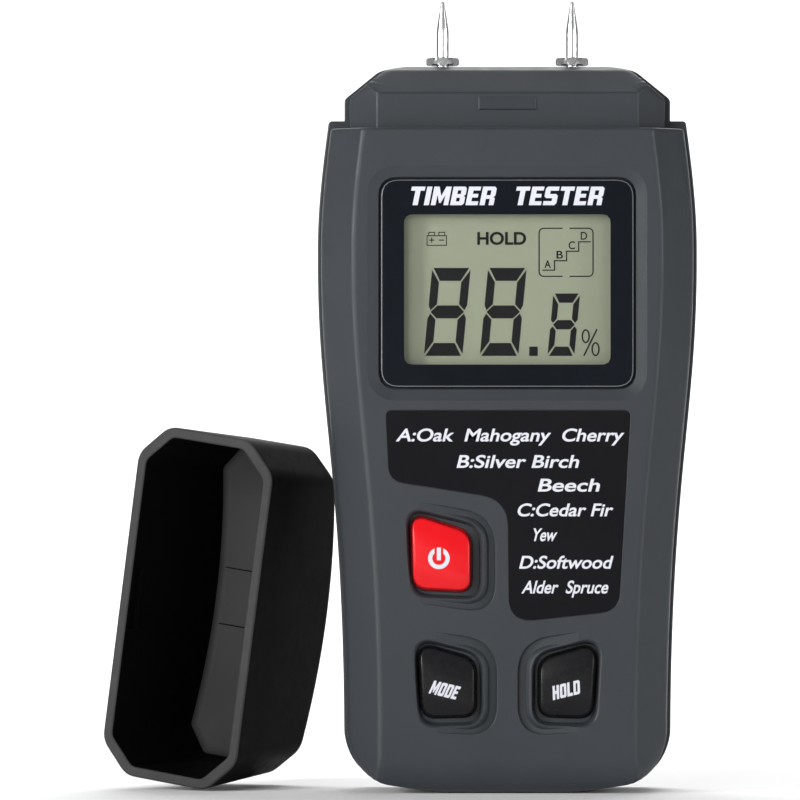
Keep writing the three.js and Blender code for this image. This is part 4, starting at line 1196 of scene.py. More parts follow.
        rings = [(7.9, notch - 1), (8.1, notch + 4.2), (8.7, notch + 4.9)]
        cuts.append(loft("notch", round_profile(rings, 96, 0.0, self.back + 7)))
        return combine(shell, cuts)

    @staticmethod
    def bar(x: float, z: float, radius: float, start: float, end: float, flare: float = 0.0) -> list[Loop]:
        """Rings of a round bar along y.

        Args:
            x: Place of the axis.
            z: Place of the axis.
            radius: Radius.
            start: First y.
            end: Last y before the flare.
            flare: Rounded widening past the end.

        Returns:
            The rings.
        """
        path = [(radius, start), (radius, end)]
        if flare:
            path += [(radius + flare * (1 - math.cos(t)), end + flare * math.sin(t))
                     for t in (0.5, 1.0, 1.57)]
            path.append((radius + flare, end + 3))
        rings = []
        for size, y in path:
            turn = np.linspace(0, 2 * math.pi, 48, endpoint=False)
            rings.append(np.column_stack([x + size * np.cos(turn), np.full(48, y), z + size * np.sin(turn)]))
        return rings


# ------------------------------------------------------------------ printing
@dataclass
class Printing:
    """Flat shapes of ink that stand a few hundredths of a millimetre proud of a surface facing -Y."""

    y: float
    thick: float = 0.03
    shapes: list[list[Loop]] = field(default_factory=list)

    def add(self, *loops: Sequence[Sequence[float]]) -> None:
        """Add one shape: its outline, then any holes in it."""
        self.shapes.append([np.array(loop, float) for loop in loops])

    def bar(self, x0: float, z0: float, x1: float, z1: float, width: float) -> None:
        """A straight stroke.

        Args:
            x0: Start.
            z0: Start.
            x1: End.
            z1: End.
            width: Its width.
        """
        ahead = np.array((x1 - x0, z1 - z0))
        side = np.array((-ahead[1], ahead[0])) / np.linalg.norm(ahead) * width / 2
        a, b = np.array((x0, z0)), np.array((x1, z1))
        self.add([a - side, b - side, b + side, a + side])

    def mesh(self, name: str) -> bpy.types.Object:
        """Fill the shapes and give them their thickness.

        Args:
            name: Name of the object.

        Returns:
            The object, at the origin.
        """
        curve = bpy.data.curves.new(name, "CURVE")
        curve.dimensions, curve.fill_mode, curve.extrude = "2D", "BOTH", self.thick * MM / 2
        for loops in self.shapes:
            for loop in loops:
                spline = curve.splines.new("POLY")
                spline.points.add(len(loop) - 1)
                for point, (x, z) in zip(spline.points, loop):
                    point.co = (x * MM, z * MM, 0, 1)
                spline.use_cyclic_u = True
        return stood_up(curve, name, self.y)


def stood_up(curve: bpy.types.Curve, name: str, y: float, place: Matrix | None = None) -> bpy.types.Object:
    """Turn a flat curve into a mesh that faces -Y.

    Args:
        curve: The flat curve or text, in metres.
        name: Name of the object.
        y: Depth of its middle, in millimetres.
        place: A flat placing that is applied first.

    Returns:
        The mesh object.
    """
    carrier = bpy.data.objects.new(name, curve)
    bpy.context.scene.collection.objects.link(carrier)
    mesh = evaluated(carrier)
    bpy.data.objects.remove(carrier)
    if place is not None:
        mesh.transform(place)
    mesh.transform(Matrix.Translation((0, y * MM, 0)) @ Matrix.Rotation(math.pi / 2, 4, "X"))
    shape = bmesh.new()
    shape.from_mesh(mesh)
    bmesh.ops.remove_doubles(shape, verts=shape.verts, dist=1e-7)
    made = from_bmesh(name, shape)
    return made


@dataclass(frozen=True)
class Lettering:
    """A line of words in the built-in face, thickened, slanted and set to a width."""

    words: str
    left: float
    right: float
    baseline: float
    height: float
    slant: float = 0.25
    weight: float = 0.018
    turn: float = 0.0

    def mesh(self, y: float, thick: float = 0.03) -> bpy.types.Object:
        """Set the line.

        Args:
            y: Depth of the ink.
            thick: Its thickness.

        Returns:
            The mesh object.
        """
        text = bpy.data.curves.new("line", "FONT")
        text.body = self.words
        text.size = 1.0
        text.offset = self.weight
        text.shear = 0.0
        carrier = bpy.data.objects.new("measure", text)
        bpy.context.scene.collection.objects.link(carrier)
        flat = evaluated(carrier)
        bpy.data.objects.remove(carrier)
        co = np.array([v.co for v in flat.vertices])
        low, high = co.min(0), co.max(0)
        cap_height = 0.69 + 2 * self.weight
        wide = (self.right - self.left - self.slant * self.height) / (high[0] - low[0])
        tall = self.height / cap_height
        fit = Matrix(((wide * MM, self.slant * tall * MM, 0, (self.left - low[0] * wide) * MM),
                      (0, tall * MM, 0, self.baseline * MM), (0, 0, MM, 0), (0, 0, 0, 1)))
        if self.turn:
            pivot = Vector((self.left * MM, self.baseline * MM, 0))
            spin = Matrix.Translation(pivot) @ Matrix.Rotation(self.turn, 4, "Z") @ Matrix.Translation(-pivot)
            fit = spin @ fit
        text.extrude = thick / 2
        return stood_up(text, "line", y, fit)


BLOCK_GLYPHS: dict[str, tuple[float, tuple[tuple[tuple[float, float], ...], ...]]] = {
    "M": (0.92, (((0, 0), (0, 1), (0.28, 1), (0.46, 0.5), (0.64, 1), (0.92, 1), (0.92, 0), (0.67, 0),
                  (0.67, 0.55),
                  (0.5, 0.12), (0.42, 0.12), (0.25, 0.55), (0.25, 0)),)),
    "O": (0.72, (((0.1, 0), (0, 0.1), (0, 0.9), (0.1, 1), (0.62, 1), (0.72, 0.9), (0.72, 0.1), (0.62, 0)),
                 ((0.27, 0.2), (0.45, 0.2), (0.45, 0.8), (0.27, 0.8)))),
    "I": (0.27, (((0, 0), (0, 1), (0.27, 1), (0.27, 0)),)),
    "S": (0.7, (((0, 0), (0, 0.22), (0.43, 0.22), (0.43, 0.38), (0.1, 0.38), (0, 0.48), (0, 0.9), (0.1, 1),
                 (0.7, 1),
                 (0.7, 0.78), (0.27, 0.78), (0.27, 0.6), (0.6, 0.6), (0.7, 0.5), (0.7, 0.1), (0.6, 0)),)),
    "T": (0.72, (((0.23, 0), (0.23, 0.78), (0, 0.78), (0, 1), (0.72, 1), (0.72, 0.78), (0.5, 0.78),
                  (0.5, 0)),)),
    "B": (0.72, (((0, 0), (0, 1), (0.62, 1), (0.72, 0.9), (0.72, 0.58), (0.64, 0.5), (0.72, 0.42),
                  (0.72, 0.1), (0.62, 0)),
                 ((0.27, 0.2), (0.45, 0.2), (0.45, 0.4), (0.27, 0.4)),
                 ((0.27, 0.6), (0.45, 0.6), (0.45, 0.8), (0.27, 0.8)))),
    "R": (0.74, (((0, 0), (0, 1), (0.64, 1), (0.74, 0.9), (0.74, 0.52), (0.66, 0.44), (0.74, 0.36), (0.74, 0),
                  (0.48, 0), (0.48, 0.34), (0.27, 0.34), (0.27, 0)),
                  ((0.27, 0.54), (0.48, 0.54), (0.48, 0.8), (0.27, 0.8)))),
    "E": (0.64, (((0, 0), (0, 1), (0.64, 1), (0.64, 0.79), (0.27, 0.79), (0.27, 0.61), (0.57, 0.61),
                  (0.57, 0.41),
                  (0.27, 0.41), (0.27, 0.21), (0.64, 0.21), (0.64, 0)),)),
    "D": (0.72, (((0, 0), (0, 1), (0.6, 1), (0.72, 0.88), (0.72, 0.12), (0.6, 0)),
                 ((0.27, 0.2), (0.45, 0.2), (0.45, 0.8), (0.27, 0.8)))),
    "H": (0.72, (((0, 0), (0, 1), (0.27, 1), (0.27, 0.61), (0.45, 0.61), (0.45, 1), (0.72, 1), (0.72, 0),
                  (0.45, 0),
                  (0.45, 0.4), (0.27, 0.4), (0.27, 0)),)),
    "L": (0.6, (((0, 0), (0, 1), (0.27, 1), (0.27, 0.22), (0.6, 0.22), (0.6, 0)),)),
}


@dataclass(frozen=True)
class BlockWords:
    """Heavy square capitals, slanted, as on the title and the key legends."""

    words: str
    left: float
    right: float
    baseline: float
    height: float
    slant: float = 0.2
    turn: float = 0.0
    gap: float = 0.1
    space: float = 0.62

    def onto(self, ink: Printing) -> None:
        """Draw the words.

        Args:
            ink: The printing that takes them.
        """
        total = -self.gap
        for letter in self.words:
            total += self.space if letter == " " else BLOCK_GLYPHS[letter][0] + self.gap
        scale = (self.right - self.left - self.slant * self.height) / total
        cursor = 0.0
        cos, sin = math.cos(self.turn), math.sin(self.turn)
        for letter in self.words:
            if letter == " ":
                cursor += self.space
                continue
            width, loops = BLOCK_GLYPHS[letter]
            placed = []
            for loop in loops:
                points = np.array(loop, float)
                x = (cursor + points[:, 0]) * scale + points[:, 1] * self.slant * self.height
                z = points[:, 1] * self.height
                placed.append(np.column_stack([self.left + x * cos - z * sin,
                                               self.baseline + x * sin + z * cos]))
            ink.add(*placed)
            cursor += width + self.gap


# ------------------------------------------------------------------ display
@dataclass
class Display:
    """Lens with its title, and the liquid crystal panel behind it with everything that it can show."""

    front: float = -14.0
    half: float = 22.55
    low: float = 72.2
    high: float = 109.3
    corner: float = 3.2
    window: tuple[float, float, float, float] = (18.35, 76.3, 103.0, 1.5)
    thick: float = 1.2
    lcd_front: float = -11.3

    def build(self) -> None:
        """Make the lens, its title and the segments."""
        self.lens()
        self.title()
        self.segments()

    def lens(self) -> None:
        """A black-printed acrylic plate with a clear window, and a front chamfer painted lighter as a painted
        highlight.
        """
        outline = evened(rounded_box(self.half, self.low, self.high, self.corner), 160)
        half, low, high, corner = self.window
        opening = evened(rounded_box(half, low, high, corner), 160)
        face, back = self.front + 0.15, self.front + 0.15 + self.thick
        start = int(np.argmin(np.hypot(*(opening - (-half, low)).T)))
        begin = int(np.argmin(np.hypot(*(outline - (-self.half, self.low)).T)))
        opening, outline = np.roll(opening, -start, axis=0), np.roll(outline, -begin, axis=0)
        rings = [facing(opening, back), facing(offset(outline, -0.1), back), facing(outline, back - 0.1)]
        rings += [facing(outline, face + 0.26), facing(offset(outline, -0.16), face + 0.07)]
        rings += [facing(offset(outline, -0.33), face), facing(opening, face)]
        shape = bmesh.new()
        faces = add_loft(shape, rings)
        for pane in faces[-2:]:
            pane.material_index = 1
        # The front chamfer band takes the lighter edge finish: a painted highlight round the lens.
        for strip in faces[4 * len(outline):5 * len(outline)]:
            strip.material_index = 2
        piece = from_bmesh("display_window", shape)
        piece.data.materials.append(LENS_BLACK.material())
        piece.data.materials.append(CLEAR.material())
        piece.data.materials.append(LENS_EDGE_PAINTED_HIGHLIGHT.material())
        dressed(piece, LENS_BLACK, Body.METER, ["display_lens"], 20, keep_materials=True)

    def title(self) -> None:
        """The title above the window."""
        ink = Printing(self.front + 0.13, 0.03)
        BlockWords("TIMBER TESTER", -17.6, 17.35, 104.6, 3.3, 0.2, space=0.95).onto(ink)
        dressed(ink.mesh("title_print"), WHITE_PRINT, Body.METER)

    def digit(self, ink: Printing, left: float, base: float, width: float, height: float,
              stroke: float) -> None:
        """A slanted seven-segment figure with all its segments on.

        Args:
            ink: The printing that takes it.
            left: Left edge at the base.
            base: Bottom.
            width: Width of the figure.
            height: Height of the figure.
            stroke: Width of a segment.
        """
        lean, gap, s = 0.095, 0.16, stroke
        top, middle = height, height / 2
        w = width

        def put(points: Sequence[tuple[float, float]]) -> None:
            """Place one segment."""
            ink.add([(left + x + z * lean, base + z) for x, z in points])

        c = s * 0.62
        put([(gap + 0.1, top), (w - gap - 0.1, top), (w - c - gap, top - s), (c + gap, top - s)])
        put([(c + gap, s), (w - c - gap, s), (w - gap - 0.1, 0), (gap + 0.1, 0)])
        put([(0.45, middle), (c + gap, middle + s / 2), (w - c - gap, middle + s / 2), (w - 0.45, middle),
             (w - c - gap, middle - s / 2), (c + gap, middle - s / 2)])
        for mirror in (False, True):
            for upper in (False, True):
                end = top - 0.35
                points = [(0, end), (c * 1.02, top - s - 0.28), (c * 1.02, middle + s / 2 + 0.22),
                          (0.42, middle + 0.3), (0, middle + s / 2 + 0.02)]
                if not upper:
                    points = [(x, height - z) for x, z in points]
                if mirror:
                    points = [(w - x, z) for x, z in points]
                put(points)

    def ring(self, ink: Printing, x: float, z: float, wide: float, high: float, stroke: float) -> None:
        """An upright oval ring.

        Args:
            ink: The printing that takes it.
            x: Middle.
            z: Middle.
            wide: Half-width.
            high: Half-height.
            stroke: Width of its line.
        """
        turn = np.linspace(0, 2 * math.pi, 32, endpoint=False)
        circle = np.column_stack([np.cos(turn), np.sin(turn)])
        ink.add(circle * (wide, high) + (x, z), circle * (wide - stroke, high - stroke) + (x, z))

    def stair(self, ink: Printing) -> list[tuple[float, float]]:
        """The box with its four steps.

        Args:
            ink: The printing that takes it.

        Returns:
            Where the letter of each step starts.
        """
        left, right, low, high, line, radius = 5.55, 15.35, 91.9, 100.65, 0.2, 0.9
        turn = np.radians(np.linspace(0, 90, 6))
        for sx in (-1, 1):
            side, middle = (left, 10.45 - 0.62) if sx < 0 else (right, 10.45 + 0.62)
            path = [(middle, high)]
            path += [(side - sx * radius + sx * radius * math.sin(t), high - radius + radius * math.cos(t))
                     for t in turn]
            path += [(side - sx * radius + sx * radius * math.cos(t), low + radius - radius * math.sin(t))
                     for t in turn]
            path.append((middle, low))
            outer = np.array(path)
            centre = np.array((middle + sx * 0.2, (low + high) / 2))
            inner = []
            for i, point in enumerate(outer):
                before, after = outer[max(i - 1, 0)], outer[min(i + 1, len(outer) - 1)]
                ahead = (after - before) / np.linalg.norm(after - before)
                side_way = np.array((-ahead[1], ahead[0]))
                if side_way @ (centre - point) < 0:
                    side_way = -side_way
                inner.append(point + side_way * line)
            ink.add([*outer, *inner[::-1]])
        x, z, run, rise, half = 6.25, 93.1, 2.15, 1.68, line / 2
        above, below = [], []
        for step in range(4):
            left_end, right_end = x + run * step, x + run * (step + 1)
            level = z + rise * step
            above += [(left_end - (half if step else 0), level + half), (right_end - half, level + half)]
            below += [(left_end + (half if step else 0), level - half), (right_end + half, level - half)]
        above[-1], below[-1] = (above[-1][0] + half, above[-1][1]), (below[-1][0] - half, below[-1][1])
        ink.add([*above, *below[::-1]])
        return [(6.6 + run * i, 93.5 + rise * i) for i in range(4)]

    def battery(self, ink: Printing) -> None:
        """The low-battery sign.

        Args:
            ink: The printing that takes it.
        """
        left, right, low, high, line = -14.35, -10.75, 97.45, 99.3, 0.14
        ink.add([(left, low), (right, low), (right, high), (left, high)],
                [(left + line, low + line), (right - line, low + line), (right - line, high - line),
                 (left + line, high - line)])
        for x in (left + 0.3, right - 1.5):
            ink.add([(x, high), (x + 1.2, high), (x + 1.2, high + 0.6), (x, high + 0.6)],
                    [(x + line, high + 0.02), (x + 1.2 - line, high + 0.02), (x + 1.2 - line, high + 0.46),
                     (x + line, high + 0.46)])
        ink.bar(left + 0.45, 98.45, left + 1.35, 98.45, 0.17)
        ink.bar(left + 0.9, 98.0, left + 0.9, 98.36, 0.17)
        ink.bar(left + 0.9, 98.54, left + 0.9, 98.9, 0.17)
        ink.bar(right - 1.4, 98.45, right - 0.5, 98.45, 0.17)

    def segments(self) -> None:
        """Everything on the panel: two tall figures, a point, a small figure and the signs."""
        y = self.lcd_front - 0.03
        ink = Printing(y)
        self.digit(ink, -14.85, 77.85, 6.85, 15.65, 2.3)
        self.digit(ink, -4.9, 77.85, 6.85, 15.65, 2.3)
        ink.add([(3.9, 77.85), (5.4, 77.85), (5.4, 79.5), (3.9, 79.5)])
        self.digit(ink, 7.15, 77.85, 4.75, 11.1, 1.65)
        self.ring(ink, 13.95, 81.35, 0.74, 1.25, 0.27)
        self.ring(ink, 15.7, 79.05, 0.74, 1.25, 0.27)
        ink.bar(13.6, 77.85, 15.95, 82.6, 0.27)
        steps = self.stair(ink)
        self.battery(ink)
        drawn = ink.mesh("lcd_segments")
        words = [Lettering("HOLD", -5.35, 3.35, 97.7, 2.3, 0.0, 0.028)]
        words += [Lettering(c, x, x + 1.15, z, 1.4, 0.0, 0.012) for c, (x, z) in zip("ABCD", steps)]
        dressed(joined(drawn, [w.mesh(y) for w in words]), LCD_INK, Body.METER)


def joined(first: bpy.types.Object, others: Sequence[bpy.types.Object]) -> bpy.types.Object:
    """Put several objects' meshes into the first.

    Args:
        first: The object that stays.
        others: Objects that are used up.

    Returns:
        The first object.
    """
    shape = bmesh.new()
    for piece in (first, *others):
        shape.from_mesh(piece.data)
    for piece in others:
        bpy.data.objects.remove(piece)
    shape.to_mesh(first.data)
    shape.free()
    return first


@dataclass
class WoodSticker:
    """The sticker that lists the wood groups."""

    face: float = -13.98
    lines: tuple[tuple[str, float, float, float], ...] = (
        ("A:Oak  Mahogany  Cherry", -19.8, 21.0, 62.7),
        ("B:Silver Birch", -9.0, 13.1, 58.0),
        ("Beech", 5.4, 16.8, 53.8),
        ("C:Cedar Fir", 1.6, 19.1, 49.4),
        ("Yew", 4.1, 9.1, 45.0),
        ("D:Softwood", 2.1, 18.9, 40.1),
        ("Alder  Spruce", 2.5, 18.3, 35.7),
    )
    cap_height: float = 2.3

    def build(self) -> None:
        """Make the film and print its lines."""
        outline = rounded(STICKER, 12)
        path = [(-0.05, self.face + 0.28), (0, self.face + 0.26), (0, self.face + 0.05), (-0.05, self.face)]
        film = cutter(outline, path)
        film.name = "wood_group_film"
        dressed(film, FILM_BLACK, Body.METER, ["wood_group_label"], 40)
        made = [Lettering(words, left, right, base, self.cap_height).mesh(self.face - 0.012)
                for words, left, right, base in self.lines]
        first = made[0]
        first.name = "wood_group_print"
        dressed(joined(first, made[1:]), WHITE_PRINT, Body.METER)


# ------------------------------------------------------------------ keys
@dataclass
class Keys:
    """The three key caps with their legends and plungers."""

    front: float = -14.0
    crown: float = 0.5
    fall: float = 0.35
    edge: float = 0.4
    flange: tuple[float, float, float] = (1.2, -10.1, -8.9)
    blend: float = 0.35
    plunger_sides: int = 48
    plunger_path: tuple[tuple[float, float], ...] = (
        (1.15, -8.6), (1.3, -8.5), (1.32, -8.35), (1.5, -8.3), (1.6, -8.2), (1.6, -7.2), (1.5, -7.1),
    )

    def build(self) -> None:
        """Make every key and what is printed on it."""
        for plan in KEYS:
            dressed(self.cap(plan), plan.finish, plan.body, [f"{plan.name}_button"], 24)
            dressed(self.legend(plan), WHITE_PRINT, plan.body)
            dressed(self.plunger(plan), IVORY, plan.body, [f"{plan.name}_plunger"], 30)

    def plunger(self, plan: KeyPlan) -> bpy.types.Object:
        """The switch's plunger behind a key.

        Args:
            plan: The key.

        Returns:
            The object.
        """
        across, up = plan.centre
        sides = self.plunger_sides
        turn = np.linspace(0, 2 * math.pi, sides, endpoint=False)
        rings = [np.column_stack([across + r * np.cos(turn), np.full(sides, y), up + r * np.sin(turn)])
                 for r, y in self.plunger_path]
        return loft(f"{plan.name}_plunger_turned", rings)

    def surface(self, plan: KeyPlan, loop: Loop) -> np.ndarray:
        """Depth of the faceted top at some points.

        Args:
            plan: The key.
            loop: Points in x and z.

        Returns:
            The y of each point.
        """
        across, up = plan.centre
        along = loop[:, 1] - up - plan.tilt * (loop[:, 0] - across)
        high, low = plan.facet
        reach = 6.0 - high, 5.6 + low
        drop = self.crown + self.fall
        above = (along - high) * drop / reach[0]
        below = (low - along) * drop / reach[1]
        level = -soft_min(-np.maximum(above, -9), np.zeros_like(below), self.blend)
        fallen = -soft_min(-level, -below, self.blend)
        return self.front - self.crown + np.maximum(fallen, 0) + 0.012 * (loop[:, 0] - across) ** 2 * 0.5

    def cap(self, plan: KeyPlan) -> bpy.types.Object:
        """One key cap: flange, stem, rounded edge and three soft facets.

        Args:
            plan: The key.

        Returns:
            The object.
        """
        outline = evened(rounded(plan.key, 12), 260)
        out, near, far = self.flange
        wide = offset(outline, out)
        rings = [facing(offset(wide, -0.15), far), facing(wide, far - 0.15), facing(wide, near + 0.15)]
        rings += [facing(offset(wide, -0.15), near), facing(outline, near)]
        for turn in np.linspace(0, math.pi / 2, 7):
            inward = self.edge * (1 - math.cos(turn))
            loop = offset(outline, -inward)
            depth = self.surface(plan, loop) + self.edge * (1 - math.sin(turn))
            rings.append(np.column_stack([loop[:, 0], depth, loop[:, 1]]))
        inner = offset(outline, -self.edge)
        middle = plan.centre
        for share in np.linspace(0.965, 0.02, 34):
            loop = middle + (inner - middle) * share
            rings.append(np.column_stack([loop[:, 0], self.surface(plan, loop), loop[:, 1]]))
        return loft(f"{plan.name}_key_cap", rings)

    def legend(self, plan: KeyPlan) -> bpy.types.Object:
        """The printed sign or word of a key.

        Args:
            plan: The key.

        Returns:
            The object.
        """
        ink = Printing(self.front - self.crown - 0.005, 0.05)
        if plan.name == "power":
            self.power_sign(ink, -12.15, 41.9)
        elif plan.name == "mode":
            BlockWords("MODE", -14.0, -8.6, 17.95, 2.45, 0.2, -0.235).onto(ink)
        else:
            BlockWords("HOLD", 8.1, 13.55, 16.7, 2.45, 0.2, 0.235).onto(ink)
        return ink.mesh(f"{plan.name}_legend")

    @staticmethod
    def power_sign(ink: Printing, x: float, z: float) -> None:
        """A ring open at its top with an upright stroke in the gap.

        Args:
            ink: The printing that takes it.
            x: Middle of the ring.
            z: Middle of the ring.
        """
        outer, inner, gap = 1.92, 1.17, 0.78
        start, stop = math.pi / 2 + math.asin(gap / outer), 5 * math.pi / 2 - math.asin(gap / outer)
        begin, end = math.pi / 2 + math.asin(gap / inner), 5 * math.pi / 2 - math.asin(gap / inner)
        arc = [(x + outer * math.cos(t), z + outer * math.sin(t)) for t in np.linspace(start, stop, 48)]
        arc += [(x + inner * math.cos(t), z + inner * math.sin(t)) for t in np.linspace(end, begin, 48)]
        ink.add(arc)
        ink.bar(x, z - 0.35, x, z + 1.92, 0.72)


# ------------------------------------------------------------------ pins
@dataclass
class Electrodes:
    """Ground pins with their nuts, sockets and leads."""

    spacing: float = 23.2
    radius: float = 1.15
    stud: float = 118.8
    tip: float = 141.5
    taper: float = 5.5
    nut: tuple[float, float, float] = (129.9, 1.5, 5.15)
    bore: float = 1.45

    def build(self) -> None:
        """Make both sides."""
        for side, name in ((-1, "left"), (1, "right")):
            x = side * self.spacing / 2
            dressed(self.pin(name, x), NICKEL, Body.METER, [f"pin_{name}"], 30)
            dressed(self.hex_nut(name, x), NICKEL, Body.METER, [f"pin_nut_{name}"], 20)
            refined(f"pin_lead_{name}", BRASS, Body.METER, 0.12)
        refined("electrode_block", IVORY, Body.METER, 0.35)

    def pin(self, name: str, x: float) -> bpy.types.Object:
        """A turned pin with a ground point.

        Args:
            name: Side.
            x: Place of its axis.

        Returns:
            The object.
        """
        r, low, high = self.radius, self.tip - self.taper, self.tip
        path = [(r - 0.2, self.stud), (r, self.stud + 0.2), (r, low - 0.25)]
        path += [(r - 0.003, low - 0.1), (r - 0.02, low + 0.06)]
        path += [(r + (0.34 - r) * t**1.08, low + (high - 0.3 - low) * t) for t in np.linspace(0.06, 1, 14)]
        path += [(0.34 * math.cos(t), high - 0.3 + 0.3 * math.sin(t)) for t in np.radians((25, 50, 70, 85))]
        return loft(f"pin_{name}_turned", round_profile(path, 48, x, 0.0))

    def hex_nut(self, name: str, x: float) -> bpy.types.Object:
        """A hexagon nut with chamfered corners round the pin.

        Args:
            name: Side.
            x: Place of its axis.

        Returns:
            The object.
        """
        bottom, height, flats = self.nut
        top = bottom + height
        turn = np.linspace(0, 2 * math.pi, 120, endpoint=False)
        wedge = np.mod(turn, math.pi / 3) - math.pi / 6
        hexagon = flats / 2 / np.cos(wedge - 0.0)
        rings = []
        for radius, z in ((0.12, top - 0.02), (0.4, top - 0.1), (0.9, top - 0.38), (2.0, top - 0.7)):
            limit = np.full(len(turn), flats / 2 - 0.2 + radius)
            rings.append(self.polar(x, np.minimum(hexagon, limit), z))
        rings.reverse()
        rings = [self.polar(x, np.minimum(hexagon, flats / 2 + 0.05), bottom)] + [
            self.polar(x, hexagon, bottom + 0.25)] + rings
        rings.append(self.polar(x, np.full(len(turn), flats / 2 - 0.35), top))
        rings.append(self.polar(x, np.full(len(turn), self.bore + 0.15), top))
        rings.append(self.polar(x, np.full(len(turn), self.bore), top - 0.15))
        rings.append(self.polar(x, np.full(len(turn), self.bore), bottom))
        shape = bmesh.new()
        ends = add_loft(shape, rings)[-2:]
        bmesh.ops.delete(shape, geom=ends, context="FACES_ONLY")
        rows = list(shape.verts)
        count = len(turn)
        first, last = rows[:count], rows[-count:]
        for i in range(count):
            j = (i + 1) % count
            shape.faces.new((last[i], last[j], first[j], first[i]))
        return from_bmesh(f"pin_nut_{name}_cut", shape)

    @staticmethod
    def polar(x: float, radius: np.ndarray, z: float) -> Loop:
        """A ring with its own radius at each angle, round a pin's axis."""
        turn = np.linspace(0, 2 * math.pi, len(radius), endpoint=False)
        return np.column_stack([x + radius * np.cos(turn), radius * np.sin(turn), np.full(len(radius), z)])


# ------------------------------------------------------------------ what repeats
class NodeForm:
    """Geometry node trees for pieces that repeat or follow a path."""

    def __init__(self, name: str, inputs: Sequence[tuple[str, str]]) -> None:
        """Start a tree with named inputs after its geometry.

        Args:
            name: Name of the tree.
            inputs: Name and socket type of each input.
        """
        self.tree = bpy.data.node_groups.new(name, "GeometryNodeTree")
        self.tree.is_modifier = True
        face = self.tree.interface
        face.new_socket("Geometry", in_out="INPUT", socket_type="NodeSocketGeometry")
        self.keys = {
            label: face.new_socket(label, in_out="INPUT", socket_type=kind).identifier
            for label, kind in inputs
        }
        face.new_socket("Geometry", in_out="OUTPUT", socket_type="NodeSocketGeometry")
        self.graph = Graph(self.tree)
        self.given = self.graph.add("NodeGroupInput").outputs

    def finish(self, source: bpy.types.NodeSocket) -> None:
        """Realize what the tree made and give it its material.

        Args:
            source: The geometry that was made.
        """
        real = self.graph.add("GeometryNodeRealizeInstances")
        paint = self.graph.add("GeometryNodeSetMaterial")
        self.graph.link(source, real.inputs["Geometry"])
        self.graph.link(real.outputs["Geometry"], paint.inputs["Geometry"])
        self.graph.link(self.given["Finish"], paint.inputs["Material"])
        self.graph.link(paint.outputs["Geometry"], self.graph.add("NodeGroupOutput").inputs["Geometry"])

    def make(self, name: str, base: bpy.types.Mesh, **values: object) -> bpy.types.Object:
        """Run the tree once and keep the plain mesh that it makes.

        Args:
            name: Name of the object.
            base: Mesh that the tree starts from.
            values: One value for each named input, with spaces as underscores.

        Returns:
            The object.
        """
        made = finished_object(name, base)
        step = made.modifiers.new(name, "NODES")
        step.node_group = self.tree
        for label, value in values.items():
            step[self.keys[label.replace("_", " ")]] = value
        return settle(made)


def repeater() -> NodeForm:
    """A tree that sets a copy of one piece on each point of a mesh."""
    form = NodeForm("repeated_piece", [("Piece", "NodeSocketObject"), ("Finish", "NodeSocketMaterial")])
    piece = form.graph.add("GeometryNodeObjectInfo")
    copies = form.graph.add("GeometryNodeInstanceOnPoints")
    form.graph.link(form.given["Piece"], piece.inputs["Object"])
    form.graph.link(form.given["Geometry"], copies.inputs["Points"])
    form.graph.link(piece.outputs["Geometry"], copies.inputs["Instance"])
    form.finish(copies.outputs["Instances"])
    return form


def coil() -> NodeForm:
    """A tree that winds a wire into a tapering spring."""
    names = ("Turns", "Lower Radius", "Upper Radius", "Height", "Wire")
    inputs = [(name, "NodeSocketFloat") for name in names] + [("Place", "NodeSocketVector")]
    form = NodeForm("tapering_coil", [*inputs, ("Finish", "NodeSocketMaterial")])
    spiral = form.graph.add("GeometryNodeCurveSpiral")
    spiral.inputs["Resolution"].default_value = 40
    wire = form.graph.add("GeometryNodeCurvePrimitiveCircle")
    wire.inputs["Resolution"].default_value = 12
    sweep = form.graph.add("GeometryNodeCurveToMesh")
    sweep.inputs["Fill Caps"].default_value = True
    place = form.graph.add("GeometryNodeTransform")
    for label, socket in (("Turns", "Rotations"), ("Lower Radius", "Start Radius"),
                          ("Upper Radius", "End Radius"),
                          ("Height", "Height")):
        form.graph.link(form.given[label], spiral.inputs[socket])
    form.graph.link(form.given["Wire"], wire.inputs["Radius"])
    form.graph.link(form.given["Place"], place.inputs["Translation"])
    form.graph.link(spiral.outputs["Curve"], sweep.inputs["Curve"])
    form.graph.link(wire.outputs["Curve"], sweep.inputs["Profile Curve"])
    form.graph.link(sweep.outputs["Mesh"], place.inputs["Geometry"])
    form.finish(place.outputs["Geometry"])
    return form


def points_mesh(places: Iterable[Sequence[float]]) -> bpy.types.Mesh:
    """A mesh of loose points.

    Args:
        places: Places in millimetres.

    Returns:
        The mesh.
    """
    mesh = bpy.data.meshes.new("places")
    mesh.from_pydata([Vector(p) * MM for p in places], [], [])
    return mesh


